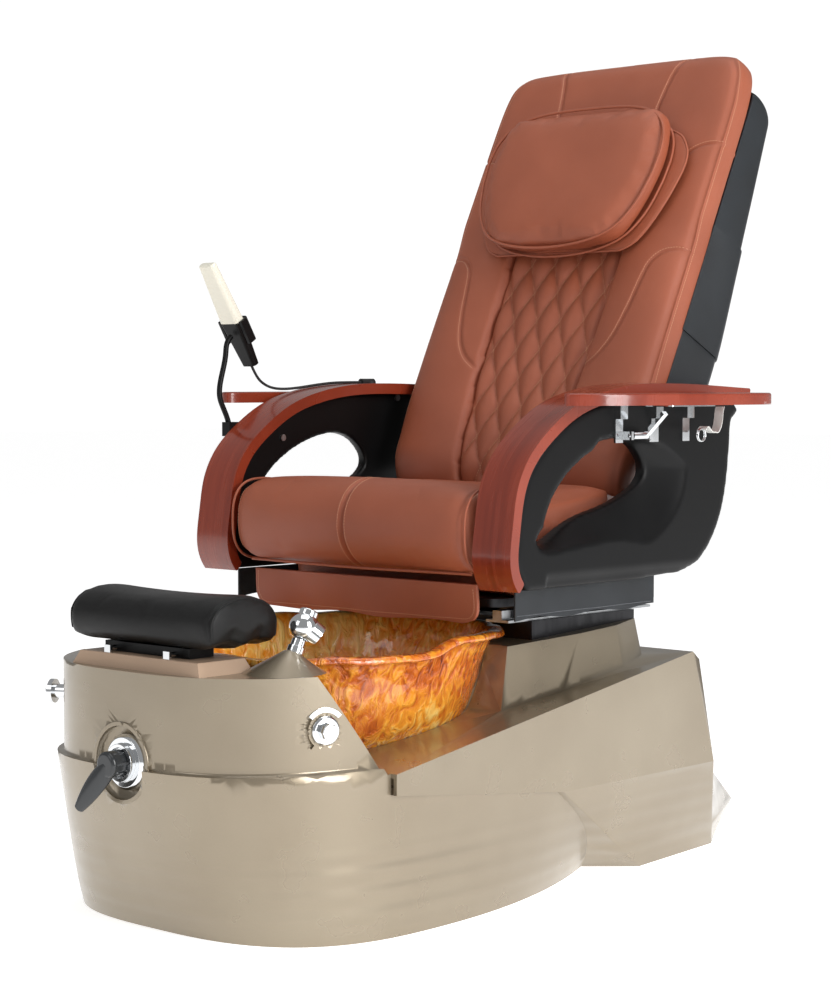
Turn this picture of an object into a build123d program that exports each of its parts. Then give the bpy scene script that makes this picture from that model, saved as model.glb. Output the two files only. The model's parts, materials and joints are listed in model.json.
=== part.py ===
from build123d import *
import os
from math import cos, pi, radians, sin, tan

os.makedirs("parts", exist_ok=True)

# ------------------------------------------------------------------ driving dimensions, mm
# +Z up, the sitter faces -Y, +X is the sitter's left, z = 0 is the floor
WALL = 7                 # moulded base wall
LEDGE_Z = 266            # ledge that runs round the bow
LEDGE_STEP = 11          # how far the collar stands in from the ledge
DECK_Z = 415             # top of the front deck
VALLEY_Z = 330.6         # height of the sloping shelf at y = 0
VALLEY_RISE = 0.16       # how much the shelf climbs per mm towards the rear
SEAM_Z = 176             # height of the side seam where the tail facet starts
PEDESTAL_Z = 422.5       # pedestal top at y = 0
PEDESTAL_RISE = 0.055

BOWL_Y = -290            # centre of the foot basin
BOWL_POWER = 2.5         # squareness of its outline
RIM_Z = 428              # underside of the basin rim
RIM_THICK = 10
GLASS = 6

RAIL_X = 200             # seat slide rails, to each side
RAIL_TOP = 474
ARM_OUT = 371            # outer face of the wooden arms
ARM_IN = 290
ARM_THICK = 20
PANEL_IN = 322           # moulded side panels
PANEL_OUT = 367
SEAT_HALF = 280
BACK_LEAN = 26.565       # backrest angle from vertical, degrees
BACK_ORIGIN = (0, 227, 850)
PAD_THICK = 55
PIVOT_Y, PIVOT_Z = 262, 600
RUN_CLEAR = 0.05         # radial clearance of a running pin

# directions of the leaning backrest
BACK_UP = Vector(0, sin(radians(BACK_LEAN)), cos(radians(BACK_LEAN)))
BACK_FRONT = Vector(0, -cos(radians(BACK_LEAN)), sin(radians(BACK_LEAN)))


def back_plane(up=0, front=0, across=0):
    """Plane lying in the backrest, moved up it, forward of it and across it."""
    origin = Vector(*BACK_ORIGIN) + BACK_UP * up + BACK_FRONT * front + Vector(across, 0, 0)
    return Plane(origin=origin, x_dir=(1, 0, 0), z_dir=BACK_FRONT)


def superellipse(half_x, half_y, power, centre_y, start=0, stop=360, steps=32):
    """Points round a superellipse, counter-clockwise from +X."""
    points = []
    for step in range(steps + 1):
        angle = radians(start + (stop - start) * step / steps)
        c, s = cos(angle), sin(angle)
        x = half_x * abs(c) ** (2 / power) * (1 if c >= 0 else -1)
        y = centre_y + half_y * abs(s) ** (2 / power) * (1 if s >= 0 else -1)
        points.append((x, y))
    return points


def save(builder, name):
    builder.part.label = name
    export_step(builder.part, f"parts/{name}.step")


# ------------------------------------------------------------------ moulded base
def bow_section(z, inset):
    """Half-boat plan of the lower hull at height z, from its rear left corner round the bow."""
    share = max(z, 0) / LEDGE_Z
    half = 323 + 6 * share - inset
    centre = -353 + 123 * share
    front = -667 - 76 * share ** 0.8 + inset
    rear = 160
    taper = 0.375 * (1 - share) ** 1.5
    side = []
    for step in range(6):
        y = rear + (centre - rear) * step / 6
        side.append((half * (1 - taper * ((y - centre) / (rear - centre)) ** 2), y))
    bow = superellipse(half, centre - front, 2.92, centre, 0, -180, 24)
    return side + bow + [(-x, y) for x, y in reversed(side)]


def hull(inset, bottom):
    with BuildPart() as block:
        for z in (bottom, 70, 150, 215, LEDGE_Z - inset):
            points = bow_section(z, inset)
            with BuildSketch(Plane.XY.offset(z)):
                with BuildLine():
                    Spline(*points)
                    Line(points[-1], points[0])
                make_face()
        loft()
    return block.part


def mirrored_polygon(corners):
    return corners + [(-x, y) for x, y in reversed(corners)]


def faceted(levels):
    """Ruled loft through mirror-symmetric polygons given as height: corners on the +X side."""
    with BuildPart() as block:
        for z, corners in levels.items():
            with BuildSketch(Plane.XY.offset(z)):
                with BuildLine():
                    Polyline(*mirrored_polygon(corners), close=True)
                make_face()
        loft(ruled=True)
    return block.part


def tail(inset, bottom):
    i = inset
    return faceted({
        bottom: [(202 - i, 160 + i), (278 - i, 230 + i), (252 - i, 487 - i), (165 - i, 630 - i)],
        45: [(227 - i, 100 + i), (291 - i, 159 + i), (272 - i, 460 - i), (150 - i, 700 - i)],
        SEAM_Z: [(300 - i, -75 + i), (330 - i, -48 + i), (330 - i, 383 - i), (150 - i, 560 - i)],
    })


def shoulders(inset):
    i = inset
    upper = faceted({
        SEAM_Z: [(330 - i, -460), (330 - i, 383 - i), (150 - i, 560 - i)],
        366: [(330 - i, -460), (330 - i, 336 - i), (150 - i, 338 - i)],
        384: [(330 - i, -460), (330 - i, 314 - i), (150 - i, 314 - i)],
    })
    seam = Plane(origin=(0, -48, SEAM_Z), z_dir=(0, 0.115, 1))
    with BuildPart() as block:
        add(upper)
        split(bisect_by=seam, keep=Keep.TOP)
    return block.part


def collar(inset):
    with BuildPart() as block:
        outline = superellipse(329 - LEDGE_STEP - inset, 513 - LEDGE_STEP - inset, 2.96, -230, 0, -180, 28)
        with BuildSketch(Plane.XY.offset(LEDGE_Z - 30)):
            with BuildLine():
                Spline(*outline)
                Line(outline[-1], outline[0])
            make_face()
        extrude(amount=DECK_Z - inset - LEDGE_Z + 30)
    return block.part


def valley(inset):
    """The space above the sloping shelf and behind the deck's raked rear edge."""
    drop = inset * 1.02
    shelf_end = 400
    low_y = -466.6 - inset * 1.23
    with BuildPart() as block:
        with BuildSketch(Plane.YZ.offset(-400)):
            with BuildLine():
                Polyline(
                    (low_y, VALLEY_Z + VALLEY_RISE * low_y - drop),
                    (shelf_end, VALLEY_Z + VALLEY_RISE * shelf_end - drop),
                    (shelf_end, 520),
                    (low_y - 186, 520),
                    close=True,
                )
            make_face()
        extrude(amount=800)
    return block.part


def pedestal(inset):
    i = inset
    foot = [(250 - i, -120 + i), (275 - i, 0), (286 - i, 190), (276 - i, 262 - i), (228 - i, 312 - i)]
    head = [(238 - i, -82 + i), (254 - i, 100), (250 - i, 190), (226 - i, 275 - i), (160 - i, 326 - i)]
    block = faceted({300: foot, 455: head})
    top = Plane(origin=(0, 0, PEDESTAL_Z - i), z_dir=(0, -PEDESTAL_RISE, 1))
    with BuildPart() as cut:
        add(block)
        split(bisect_by=top, keep=Keep.BOTTOM)
    return cut.part


def base_block(inset, bottom):
    with BuildPart() as block:
        add(hull(inset, bottom))
        add(tail(inset, bottom))
        add(shoulders(inset))
        add(collar(inset))
        add(valley(inset), mode=Mode.SUBTRACT)
        add(pedestal(inset))
    return block.part


BOWL_LEVELS = (
    (RIM_Z + 1, 252, 272),
    (390, 243, 262),
    (345, 231, 249),
    (300, 213, 231),
    (268, 186, 203),
    (246, 150, 166),
)


def bowl_body(extra, lift=0):
    """The tapering body of the basin, grown by extra all round and raised by lift."""
    with BuildPart() as block:
        for z, half_x, half_y in BOWL_LEVELS:
            ring = superellipse(half_x + extra, half_y + extra, BOWL_POWER, BOWL_Y, steps=32)
            with BuildSketch(Plane.XY.offset(z + lift)):
                with BuildLine():
                    Spline(*ring[:-1], periodic=True)
                make_face()
        loft()
    return block.part


MIXER = Vector(0, -742, 272)
KNOB = Vector(281, -567, 332)
KNOB_OUT = Vector(0.938, -0.347, 0)
BUTTON = Vector(-281, -640, 350)
BUTTON_OUT = Vector(-0.889, -0.458, 0)
mixer_plane = Plane(origin=MIXER, x_dir=(1, 0, 0), z_dir=(0, -1, 0))
knob_plane = Plane(origin=KNOB, z_dir=KNOB_OUT)
button_plane = Plane(origin=BUTTON, z_dir=BUTTON_OUT)
SPRAYER = Vector(200, -568, DECK_Z)
SPRAYER_UP = Vector(0, sin(radians(28)), cos(radians(28)))
sprayer_plane = Plane(origin=SPRAYER, x_dir=(1, 0, 0), z_dir=SPRAYER_UP)
DRAIN_R = 20
jet_plane = Plane(origin=(0, BOWL_Y - 249, 350), x_dir=(1, 0, 0), z_dir=(0, -1, 0))

# drain knob and its bezel, with an arched label plate above
LABEL_TURN = 90
with BuildPart() as label_plate:
    with BuildSketch(knob_plane.offset(-6)):
        with BuildLine():
            CenterArc((0, 0), 36, 40, 100)
            CenterArc((0, 0), 28, 40, 100)
            for angle in (40, 140):
                spoke = Vector(cos(radians(angle)), sin(radians(angle)))
                Line(spoke * 28, spoke * 36)
        make_face()
    extrude(amount=7)

with BuildPart() as drain_bezel:
    with BuildSketch(knob_plane.offset(-3)):
        Circle(23)
    extrude(amount=9)
    chamfer(drain_bezel.edges().filter_by(GeomType.CIRCLE).sort_by(Axis.X)[-1], 3)
    with BuildSketch(knob_plane.offset(-28)):
        Circle(11.5)
    extrude(amount=25)
    with BuildSketch(knob_plane.offset(-30)):
        Circle(5.05)
    extrude(amount=40, mode=Mode.SUBTRACT)
    add(label_plate.part.rotate(Axis(KNOB, KNOB_OUT), LABEL_TURN))
save(drain_bezel, "drain_bezel")

with BuildPart() as button_bezel:
    with BuildSketch(button_plane.offset(-3)):
        Circle(20)
    extrude(amount=8)
    with BuildSketch(button_plane.offset(-28)):
        Circle(11.5)
    extrude(amount=25)
    with BuildSketch(button_plane.offset(-30)):
        Circle(10.05)
    extrude(amount=50, mode=Mode.SUBTRACT)
save(button_bezel, "button_bezel")

with BuildPart() as base_shell:
    add(base_block(0, 0))
    add(base_block(WALL, -5), mode=Mode.SUBTRACT)
    with BuildSketch(mixer_plane.offset(-34)):
        Circle(64)
    extrude(amount=27)
    with BuildSketch(mixer_plane.offset(-24)):
        Circle(58)
    extrude(amount=40, mode=Mode.SUBTRACT)
    with BuildSketch(mixer_plane.offset(-50)):
        Circle(20)
    extrude(amount=40, mode=Mode.SUBTRACT)
    with BuildSketch(knob_plane.offset(-30), button_plane.offset(-30)):
        Circle(12)
    extrude(amount=45, mode=Mode.SUBTRACT)
    with BuildSketch(sprayer_plane.offset(-60)):
        Circle(16)
    extrude(amount=90, mode=Mode.SUBTRACT)
    with BuildSketch(jet_plane.offset(-20)):
        Circle(44)
    extrude(amount=70, mode=Mode.SUBTRACT)
    add(drain_bezel.part, mode=Mode.SUBTRACT)
    add(button_bezel.part, mode=Mode.SUBTRACT)
    add(bowl_body(2), mode=Mode.SUBTRACT)
    add(bowl_body(2, lift=20), mode=Mode.SUBTRACT)
    with BuildSketch(Plane.XZ.offset(-540)):
        with Locations((0, 60)):
            Circle(DRAIN_R + 3)
    extrude(amount=-200, mode=Mode.SUBTRACT)
save(base_shell, "base_shell")

# ------------------------------------------------------------------ inside and on the base
with BuildPart() as floor_frame:
    with BuildSketch(Plane.XY.offset(10)):
        with GridLocations(300, 0, 2, 1):
            Rectangle(40, 840)
        with GridLocations(0, 400, 1, 3):
            Rectangle(340, 40)
    extrude(amount=30)
    with BuildSketch(Plane.XY):
        Circle(24)
        with GridLocations(300, 760, 2, 2):
            Circle(24)
    extrude(amount=12)
save(floor_frame, "floor_frame")

with BuildPart() as basin:
    add(bowl_body(0))
    with BuildSketch(Plane.XY.offset(RIM_Z)):
        with BuildLine():
            Spline(*superellipse(277, 297, BOWL_POWER, BOWL_Y)[:-1], periodic=True)
        make_face()
    extrude(amount=RIM_THICK)
    add(bowl_body(-GLASS, lift=GLASS), mode=Mode.SUBTRACT)
    with BuildSketch(Plane.XY.offset(RIM_Z - 5)):
        with BuildLine():
            Spline(*superellipse(246, 266, BOWL_POWER, BOWL_Y)[:-1], periodic=True)
        make_face()
    extrude(amount=40, mode=Mode.SUBTRACT)
    with Locations((0, BOWL_Y, 240)):
        Hole(26.2)
    with BuildSketch(jet_plane.offset(-60)):
        Circle(14)
    extrude(amount=90, mode=Mode.SUBTRACT)
save(basin, "basin")

with BuildPart() as basin_gasket:
    with BuildSketch(Plane.XY.offset(DECK_Z)):
        with BuildLine():
            Spline(*superellipse(268, 288, BOWL_POWER, BOWL_Y)[:-1], periodic=True)
        make_face()
        with BuildLine():
            Spline(*superellipse(257, 277, BOWL_POWER, BOWL_Y)[:-1], periodic=True)
        make_face(mode=Mode.SUBTRACT)
    extrude(amount=RIM_Z - DECK_Z)
    add(base_block(0, 0), mode=Mode.SUBTRACT)
save(basin_gasket, "basin_gasket")

# waste fitting in the floor of the basin, with the lift-out plug above it
with BuildPart() as drain_flange:
    with BuildSketch(Plane((0, BOWL_Y, 252))):
        Circle(34)
    extrude(amount=4)
    with BuildSketch(Plane((0, BOWL_Y, 200))):
        Circle(26)
    extrude(amount=52)
    with Locations((0, BOWL_Y, 252)):
        Hole(18)
save(drain_flange, "drain_flange")

with BuildPart() as drain_stopper:
    with BuildSketch(Plane((0, BOWL_Y, 256.3))):
        Circle(23)
    extrude(amount=5)
    fillet(drain_stopper.faces().sort_by(Axis.Z)[-1].edges(), 2)
    with BuildSketch(Plane((0, BOWL_Y, 206))):
        Circle(4)
    extrude(amount=50.3)
save(drain_stopper, "drain_stopper")

DRAIN_END_Y = 668
DRAIN_Z = 60
with BuildPart() as drain_pipe:
    with BuildLine() as drain_path:
        FilletPolyline(
            (0, BOWL_Y, 200), (0, BOWL_Y, DRAIN_Z), (0, DRAIN_END_Y, DRAIN_Z), radius=60
        )
    with BuildSketch(Plane(origin=drain_path.line @ 0, z_dir=drain_path.line % 0)):
        Circle(DRAIN_R)
        Circle(DRAIN_R - 3, mode=Mode.SUBTRACT)
    sweep()
save(drain_pipe, "drain_pipe")

# pipeless jet on the front wall of the basin
with BuildPart() as jet_motor:
    with BuildSketch(jet_plane.offset(17)):
        Circle(38)
    extrude(amount=12)
    with BuildSketch(jet_plane.offset(29)):
        Circle(30)
    extrude(amount=64)
    fillet(jet_motor.edges().group_by(Axis.Y)[0], 5)
    with BuildSketch(jet_plane.offset(-26)):
        Circle(13.5)
    extrude(amount=43)
save(jet_motor, "jet_motor")

with BuildPart() as jet_cover:
    with BuildSketch(jet_plane.offset(-44)):
        Circle(36)
    extrude(amount=17)
    fillet(jet_cover.faces().sort_by(Axis.Y)[-1].edges(), 4)
    with BuildSketch(jet_plane.offset(-40)):
        Circle(32)
    extrude(amount=20, mode=Mode.SUBTRACT)
    with BuildSketch(jet_plane.offset(-50)):
        with PolarLocations(20, 8):
            SlotOverall(16, 5)
    extrude(amount=20, mode=Mode.SUBTRACT)
save(jet_cover, "jet_cover")

# mixer in its round recess on the bow
with BuildPart() as mixer_escutcheon:
    with BuildSketch(mixer_plane.offset(-24)):
        Circle(44)
    extrude(amount=12)
    chamfer(mixer_escutcheon.faces().sort_by(Axis.Y)[0].edges(), 5)
    with BuildSketch(mixer_plane.offset(-12)):
        Circle(30)
        Circle(24, mode=Mode.SUBTRACT)
    extrude(amount=9)
    with BuildSketch(mixer_plane.offset(-30)):
        Circle(19.5)
    extrude(amount=40, mode=Mode.SUBTRACT)
save(mixer_escutcheon, "mixer_escutcheon")

with BuildPart() as mixer_valve:
    with BuildSketch(mixer_plane.offset(-94)):
        Rectangle(72, 72)
    extrude(amount=60)
    with BuildSketch(mixer_plane.offset(-34)):
        Circle(19)
    extrude(amount=29)
    INLET_X, INLET_R = 60, 10.5
    with BuildSketch(Plane.YZ.offset(-INLET_X)):
        with Locations((MIXER.Y + 66, MIXER.Z)):
            Circle(INLET_R)
    extrude(amount=2 * INLET_X)
save(mixer_valve, "mixer_valve")

LEVER_TURN = -142
with BuildPart() as mixer_handle:
    with BuildSketch(mixer_plane.offset(-4.5)):
        Circle(21)
    extrude(amount=30)
    fillet(mixer_handle.faces().sort_by(Axis.Y)[0].edges(), 6)
    for depth, width, reach in ((0, 15, 0), (10, 18, 42), (17, 9, 92)):
        tip = Vector(-sin(radians(-LEVER_TURN)), cos(radians(-LEVER_TURN)), 0)
        origin = mixer_plane.offset(12 + depth).from_local_coords(tip * reach)
        slope = Vector(tip.X, 0, tip.Y)
        with BuildSketch(Plane(origin=origin, x_dir=(0, -1, 0), z_dir=slope)):
            Ellipse(max(7, 14 - reach / 10), width)
    loft()
save(mixer_handle, "mixer_handle")

with BuildPart() as drain_knob:
    with BuildSketch(knob_plane.offset(6.3)):
        RegularPolygon(15, 8)
    extrude(amount=13, taper=8)
    with BuildSketch(knob_plane.offset(-36)):
        Circle(5)
    extrude(amount=44)
save(drain_knob, "drain_knob")

with BuildPart() as jet_button:
    with BuildSketch(button_plane.offset(-20)):
        Circle(10)
    extrude(amount=32)
    fillet(jet_button.edges().filter_by(GeomType.CIRCLE).sort_by(Axis.X)[0], 3)
save(jet_button, "jet_button")

# footrest on the deck
PLINTH_Y = -655
PLINTH_TOP = 436
with BuildPart() as footrest_plinth:
    for z, width, depth in ((DECK_Z, 300, 112), (PLINTH_TOP, 276, 98)):
        with BuildSketch(Plane.XY.offset(z)):
            with Locations((6, PLINTH_Y)):
                Rectangle(width, depth)
    loft()
    fillet(footrest_plinth.faces().sort_by(Axis.Z)[-1].edges(), 2)
save(footrest_plinth, "footrest_plinth")

SLIDE_ROD_X, SLIDE_ROD_Z = 70, 443
with BuildPart() as footrest_rods:
    for side in (-1, 1):
        with BuildSketch(Plane.XZ.offset(-PLINTH_Y - 46)):
            with Locations((side * SLIDE_ROD_X, SLIDE_ROD_Z)):
                Circle(4)
        extrude(amount=92)
        for end in (-1, 1):
            with BuildSketch(Plane.XY.offset(PLINTH_TOP)):
                with Locations((side * SLIDE_ROD_X, PLINTH_Y + end * 44)):
                    Rectangle(14, 5)
            extrude(amount=12)
save(footrest_rods, "footrest_rods")

with BuildPart() as footrest_carriage:
    with BuildSketch(Plane.XY.offset(PLINTH_TOP + 0.6)):
        with Locations((0, PLINTH_Y)):
            Rectangle(200, 50)
    extrude(amount=15.4)
    for side in (-1, 1):
        with BuildSketch(Plane.XZ.offset(-PLINTH_Y - 100)):
            with Locations((side * SLIDE_ROD_X, SLIDE_ROD_Z)):
                Circle(4 + RUN_CLEAR)
        extrude(amount=200, mode=Mode.SUBTRACT)
save(footrest_carriage, "footrest_carriage")

CUSHION_HALF = 172
with BuildPart() as footrest_cushion:
    with BuildSketch(Plane.YZ.offset(-CUSHION_HALF)):
        with BuildLine():
            Polyline((-706, 466), (-703, 452), (-566, 452))
            Spline((-566, 452), (-549, 480), (-566, 514), (-622, 534), (-680, 510), (-706, 466))
        make_face()
    extrude(amount=2 * CUSHION_HALF)
    with BuildSketch(Plane.XZ.offset(500)):
        with Locations((0, 526 + 900)):
            Circle(900)
    extrude(amount=300, mode=Mode.SUBTRACT)
save(footrest_cushion, "footrest_cushion")

# sprayer standing in a conical fairing
with BuildPart() as sprayer_fairing:
    with BuildSketch(Plane.XY.offset(DECK_Z)):
        with Locations((SPRAYER.X, SPRAYER.Y - 8)):
            Circle(66)
    with BuildSketch(sprayer_plane.offset(30)):
        Circle(17)
    loft()
    with BuildSketch(sprayer_plane.offset(-60)):
        Circle(12.05)
    extrude(amount=120, mode=Mode.SUBTRACT)
    add(bowl_body(2), mode=Mode.SUBTRACT)
    add(bowl_body(2, lift=20), mode=Mode.SUBTRACT)
    with BuildSketch(Plane.XY.offset(RIM_Z - 0.5)):
        with BuildLine():
            Spline(*superellipse(278, 298, BOWL_POWER, BOWL_Y)[:-1], periodic=True)
        make_face()
    extrude(amount=60, mode=Mode.SUBTRACT)
    add(basin_gasket.part, mode=Mode.SUBTRACT)
    with BuildSketch(Plane.XY.offset(DECK_Z - 100)):
        Rectangle(2000, 2000)
    extrude(amount=100, mode=Mode.SUBTRACT)
    add(footrest_plinth.part, mode=Mode.SUBTRACT)
save(sprayer_fairing, "sprayer_fairing")

with BuildPart() as sprayer_neck:
    with BuildSketch(sprayer_plane.offset(-40)):
        Circle(12)
    extrude(amount=72)
    with BuildSketch(sprayer_plane.offset(32)):
        Circle(13.5)
    extrude(amount=10)
    with BuildSketch(sprayer_plane.offset(42)):
        Circle(11)
    extrude(amount=12)
save(sprayer_neck, "sprayer_neck")

with BuildPart() as sprayer_head:
    head_plane = sprayer_plane.offset(76)
    with Locations(head_plane.location):
        Sphere(23)
    with BuildSketch(head_plane.offset(16)):
        Circle(15)
    extrude(amount=12)
    fillet(sprayer_head.faces().sort_by(Axis.Z)[-1].edges(), 3)
    face_plane = Plane(origin=head_plane.origin, z_dir=(0.45, 0.62, -0.64))
    with BuildSketch(face_plane.offset(10)):
        Circle(21)
    extrude(amount=17)
    split(bisect_by=sprayer_plane.offset(54.3), keep=Keep.TOP)
save(sprayer_head, "sprayer_head")

# ------------------------------------------------------------------ seat slide
with BuildPart() as pedestal_frame:
    with BuildSketch(Plane.XY.offset(400)):
        with GridLocations(2 * RAIL_X, 0, 2, 1):
            with Locations((0, 129)):
                Rectangle(62, 288)
        for y in (36, 240):
            with Locations((0, y)):
                Rectangle(2 * RAIL_X, 50)
    extrude(amount=54)
    foot_plane = Plane(origin=(0, 0, PEDESTAL_Z), z_dir=(0, -PEDESTAL_RISE, 1))
    split(bisect_by=foot_plane, keep=Keep.TOP)
save(pedestal_frame, "pedestal_frame")

RAIL_REAR, RAIL_FRONT = 330, -70
with BuildPart() as lower_rails:
    for side in (-1, 1):
        with BuildSketch(Plane.XZ.offset(-RAIL_REAR)):
            with Locations((side * RAIL_X, 454)):
                Rectangle(50, 4, align=(Align.CENTER, Align.MIN))
                Rectangle(20, RAIL_TOP - 454, align=(Align.CENTER, Align.MIN))
        extrude(amount=RAIL_REAR - RAIL_FRONT)
save(lower_rails, "lower_rails")

with BuildPart() as upper_rails:
    for side in (-1, 1):
        with BuildSketch(Plane.XZ.offset(-RAIL_REAR + 60)):
            with Locations((side * RAIL_X, 460)):
                Rectangle(42, 26, align=(Align.CENTER, Align.MIN))
                Rectangle(20.6, RAIL_TOP - 459.7, align=(Align.CENTER, Align.MIN), mode=Mode.SUBTRACT)
        extrude(amount=RAIL_REAR - RAIL_FRONT - 90)
save(upper_rails, "upper_rails")

# ------------------------------------------------------------------ seat
with BuildPart() as seat_pan:
    with BuildSketch(Plane.XY.offset(486)):
        with Locations((0, 65)):
            RectangleRounded(500, 390, 30)
        with Locations((0, 100)):
            Rectangle(2 * PANEL_IN, 220)
    extrude(amount=14)
    for side in (-1, 1):
        with BuildSketch(Plane.XY.offset(500)):
            with Locations((side * (PANEL_IN - 3), 100)):
                Rectangle(6, 220)
        extrude(amount=100)
save(seat_pan, "seat_pan")

ARM_CREST = [
    (-216, 522), (-238, 572), (-232, 632), (-222, 685), (-192, 740), (-140, 785),
    (-78, 821), (0, 845), (80, 857), (160, 860), (300, 857), (432, 851),
]
arm_crest = Edge.make_spline([Vector(0, y, z) for y, z in ARM_CREST])
arm_inner = []
for step in range(19):
    share = 0.004 + 0.992 * step / 18
    along = arm_crest % share
    below = Vector(0, along.Z, -along.Y)
    arm_inner.append(arm_crest @ share + below * ARM_THICK)

with BuildPart() as arm_left:
    with BuildSketch(Plane.YZ.offset(ARM_IN)):
        with BuildLine():
            Spline(*ARM_CREST)
            Spline(*[(p.Y, p.Z) for p in arm_inner])
            Line(ARM_CREST[0], (arm_inner[0].Y, arm_inner[0].Z))
            Line(ARM_CREST[-1], (arm_inner[-1].Y, arm_inner[-1].Z))
        make_face()
    extrude(amount=ARM_OUT - ARM_IN)
    fillet(arm_left.edges().filter_by(Axis.X), 4)
save(arm_left, "arm_left")

with BuildPart() as arm_right:
    mirror(arm_left.part, about=Plane.YZ)
save(arm_right, "arm_right")

LOOP = [
    (-150, 608),
    (-128, 668),
    (-60, 728),
    (34, 763),
    (118, 754),
    (152, 711),
    (100, 671),
    (21, 648),
    (-70, 622),
]
panel_top = [(p.Y, p.Z) for p in arm_inner[1:-1]]
with BuildPart() as panel_left:
    with BuildSketch(Plane.YZ.offset(PANEL_IN)):
        with BuildLine():
            Spline(*panel_top)
            Polyline(panel_top[-1], (402, 812), (379, 794))
            Spline((379, 794), (372, 720), (350, 630), (282, 548), (205, 530))
            Polyline((205, 530), (105, 525), (-190, 525), panel_top[0])
        make_face()
    extrude(amount=PANEL_OUT - PANEL_IN)
    with BuildSketch(Plane.YZ.offset(PANEL_IN - 10)):
        with BuildLine():
            Spline(*LOOP, periodic=True)
        make_face()
    extrude(amount=80, mode=Mode.SUBTRACT)
    PIVOT_R = 10
    with BuildSketch(Plane.YZ.offset(PANEL_IN - 10)):
        with Locations((PIVOT_Y, PIVOT_Z)):
            Circle(PIVOT_R + RUN_CLEAR)
    extrude(amount=35, mode=Mode.SUBTRACT)
    add(arm_left.part, mode=Mode.SUBTRACT)
save(panel_left, "panel_left")

with BuildPart() as panel_right:
    mirror(panel_left.part, about=Plane.YZ)
save(panel_right, "panel_right")

with BuildPart() as arm_screws:
    for side in (-1, 1):
        for y, z in ((-165, 640), (-70, 760), (240, 832)):
            with Locations(Plane(origin=(side * (PANEL_IN - 4), y, z), z_dir=(side, 0, 0))):
                Cylinder(6, 4, align=(Align.CENTER, Align.CENTER, Align.MIN))
save(arm_screws, "arm_screws")

SEAT_TOP = 660
with BuildPart() as seat_cushion:
    with BuildSketch(Plane.YZ.offset(-SEAT_HALF)):
        with BuildLine():
            Polyline((-92, 500.3), (140, 500.3), (140, 640), (120, SEAT_TOP), (-92, SEAT_TOP), close=True)
        make_face()
    extrude(amount=2 * SEAT_HALF)
    fillet(seat_cushion.faces().filter_by(Axis.X).edges().filter_by(Axis.Y), 18)
save(seat_cushion, "seat_cushion")

ROLL_Y, ROLL_Z, ROLL_R = -168, 618, 82
with BuildPart() as seat_roll:
    with BuildSketch(Plane.YZ.offset(-285)):
        with Locations((ROLL_Y, ROLL_Z)):
            Circle(ROLL_R)
        with Locations((-129, ROLL_Z - 18)):
            Rectangle(73, 150)
        with Locations((-92.3, ROLL_Z)):
            Rectangle(100, 300, align=(Align.MIN, Align.CENTER), mode=Mode.SUBTRACT)
    extrude(amount=570)
save(seat_roll, "seat_roll")

with BuildPart() as seat_apron:
    with BuildSketch(Plane.XY.offset(466)):
        with Locations((0, -188)):
            Rectangle(520, 10)
    extrude(amount=60)
    fillet(seat_apron.edges().filter_by(Axis.Y).group_by(Axis.Z)[0], 30)
save(seat_apron, "seat_apron")

with BuildPart() as skirts:
    for side in (-1, 1):
        with BuildSketch(Plane.YZ.offset(side * 327 - 3)):
            with BuildLine():
                Polyline((200, 524.6), (-176, 524.6), (-176, 478))
                Spline((-176, 478), (-120, 474), (-20, 490), (110, 492), (200, 500))
                Line((200, 500), (200, 524.6))
            make_face()
        extrude(amount=6)
save(skirts, "skirts")

# linear drive that tilts the back; its eye stands beside the lug of the back frame
DRIVE_X = 44
drive_start = Vector(DRIVE_X, 186, 527)
drive_eye = Vector(DRIVE_X, 322, 640)
drive_plane = Plane(origin=drive_start, x_dir=(1, 0, 0), z_dir=drive_eye - drive_start)
DRIVE_LENGTH = (drive_eye - drive_start).length
with BuildPart() as recline_drive:
    with BuildSketch(drive_plane):
        Circle(22)
    extrude(amount=100)
    with BuildSketch(drive_plane.offset(100)):
        Circle(8)
    extrude(amount=DRIVE_LENGTH - 110)
    with BuildSketch(Plane.YZ.offset(DRIVE_X - 6)):
        with Locations((drive_eye.Y, drive_eye.Z)):
            Circle(13)
    extrude(amount=12)
    with BuildSketch(Plane.YZ.offset(DRIVE_X - 10)):
        with Locations((drive_eye.Y, drive_eye.Z)):
            Circle(5)
    extrude(amount=20, mode=Mode.SUBTRACT)
    with BuildSketch(Plane.XY.offset(500.3)):
        with Locations((DRIVE_X, 182)):
            Rectangle(40, 30)
    extrude(amount=24)
save(recline_drive, "recline_drive")

# ------------------------------------------------------------------ back
PAD_LOW = -178
PAD_EDGE = [
    (266, -150), (279, 0), (282, 140), (283, 290), (283, 400),
    (283, 440), (283, 505), (282, 580), (275, 650), (246, 694),
]
with BuildPart() as back_pad:
    with BuildSketch(back_plane(front=-PAD_THICK)):
        with BuildLine():
            Spline(*PAD_EDGE)
            Spline(PAD_EDGE[-1], (150, 709), (0, 712), (-150, 709), (-PAD_EDGE[-1][0], PAD_EDGE[-1][1]))
            Spline(*[(-x, y) for x, y in reversed(PAD_EDGE)])
            Spline(
                (-PAD_EDGE[0][0], PAD_EDGE[0][1]), (-180, PAD_LOW), (180, PAD_LOW), PAD_EDGE[0]
            )
        make_face()
    extrude(amount=PAD_THICK + 6)
    fillet(back_pad.faces().sort_by(Axis(BACK_ORIGIN, BACK_FRONT))[-1].edges(), 12)
save(back_pad, "back_pad")

SHELL_REAR = [(342, 696), (392, 782), (434, 851), (502, 1013), (579, 1219), (621, 1334)]
SHELL_CROWN = [(621, 1334), (622, 1362), (604, 1388), (567, 1404)]
SHELL_WALL = 5
SHELL_HALF = 286


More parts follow.
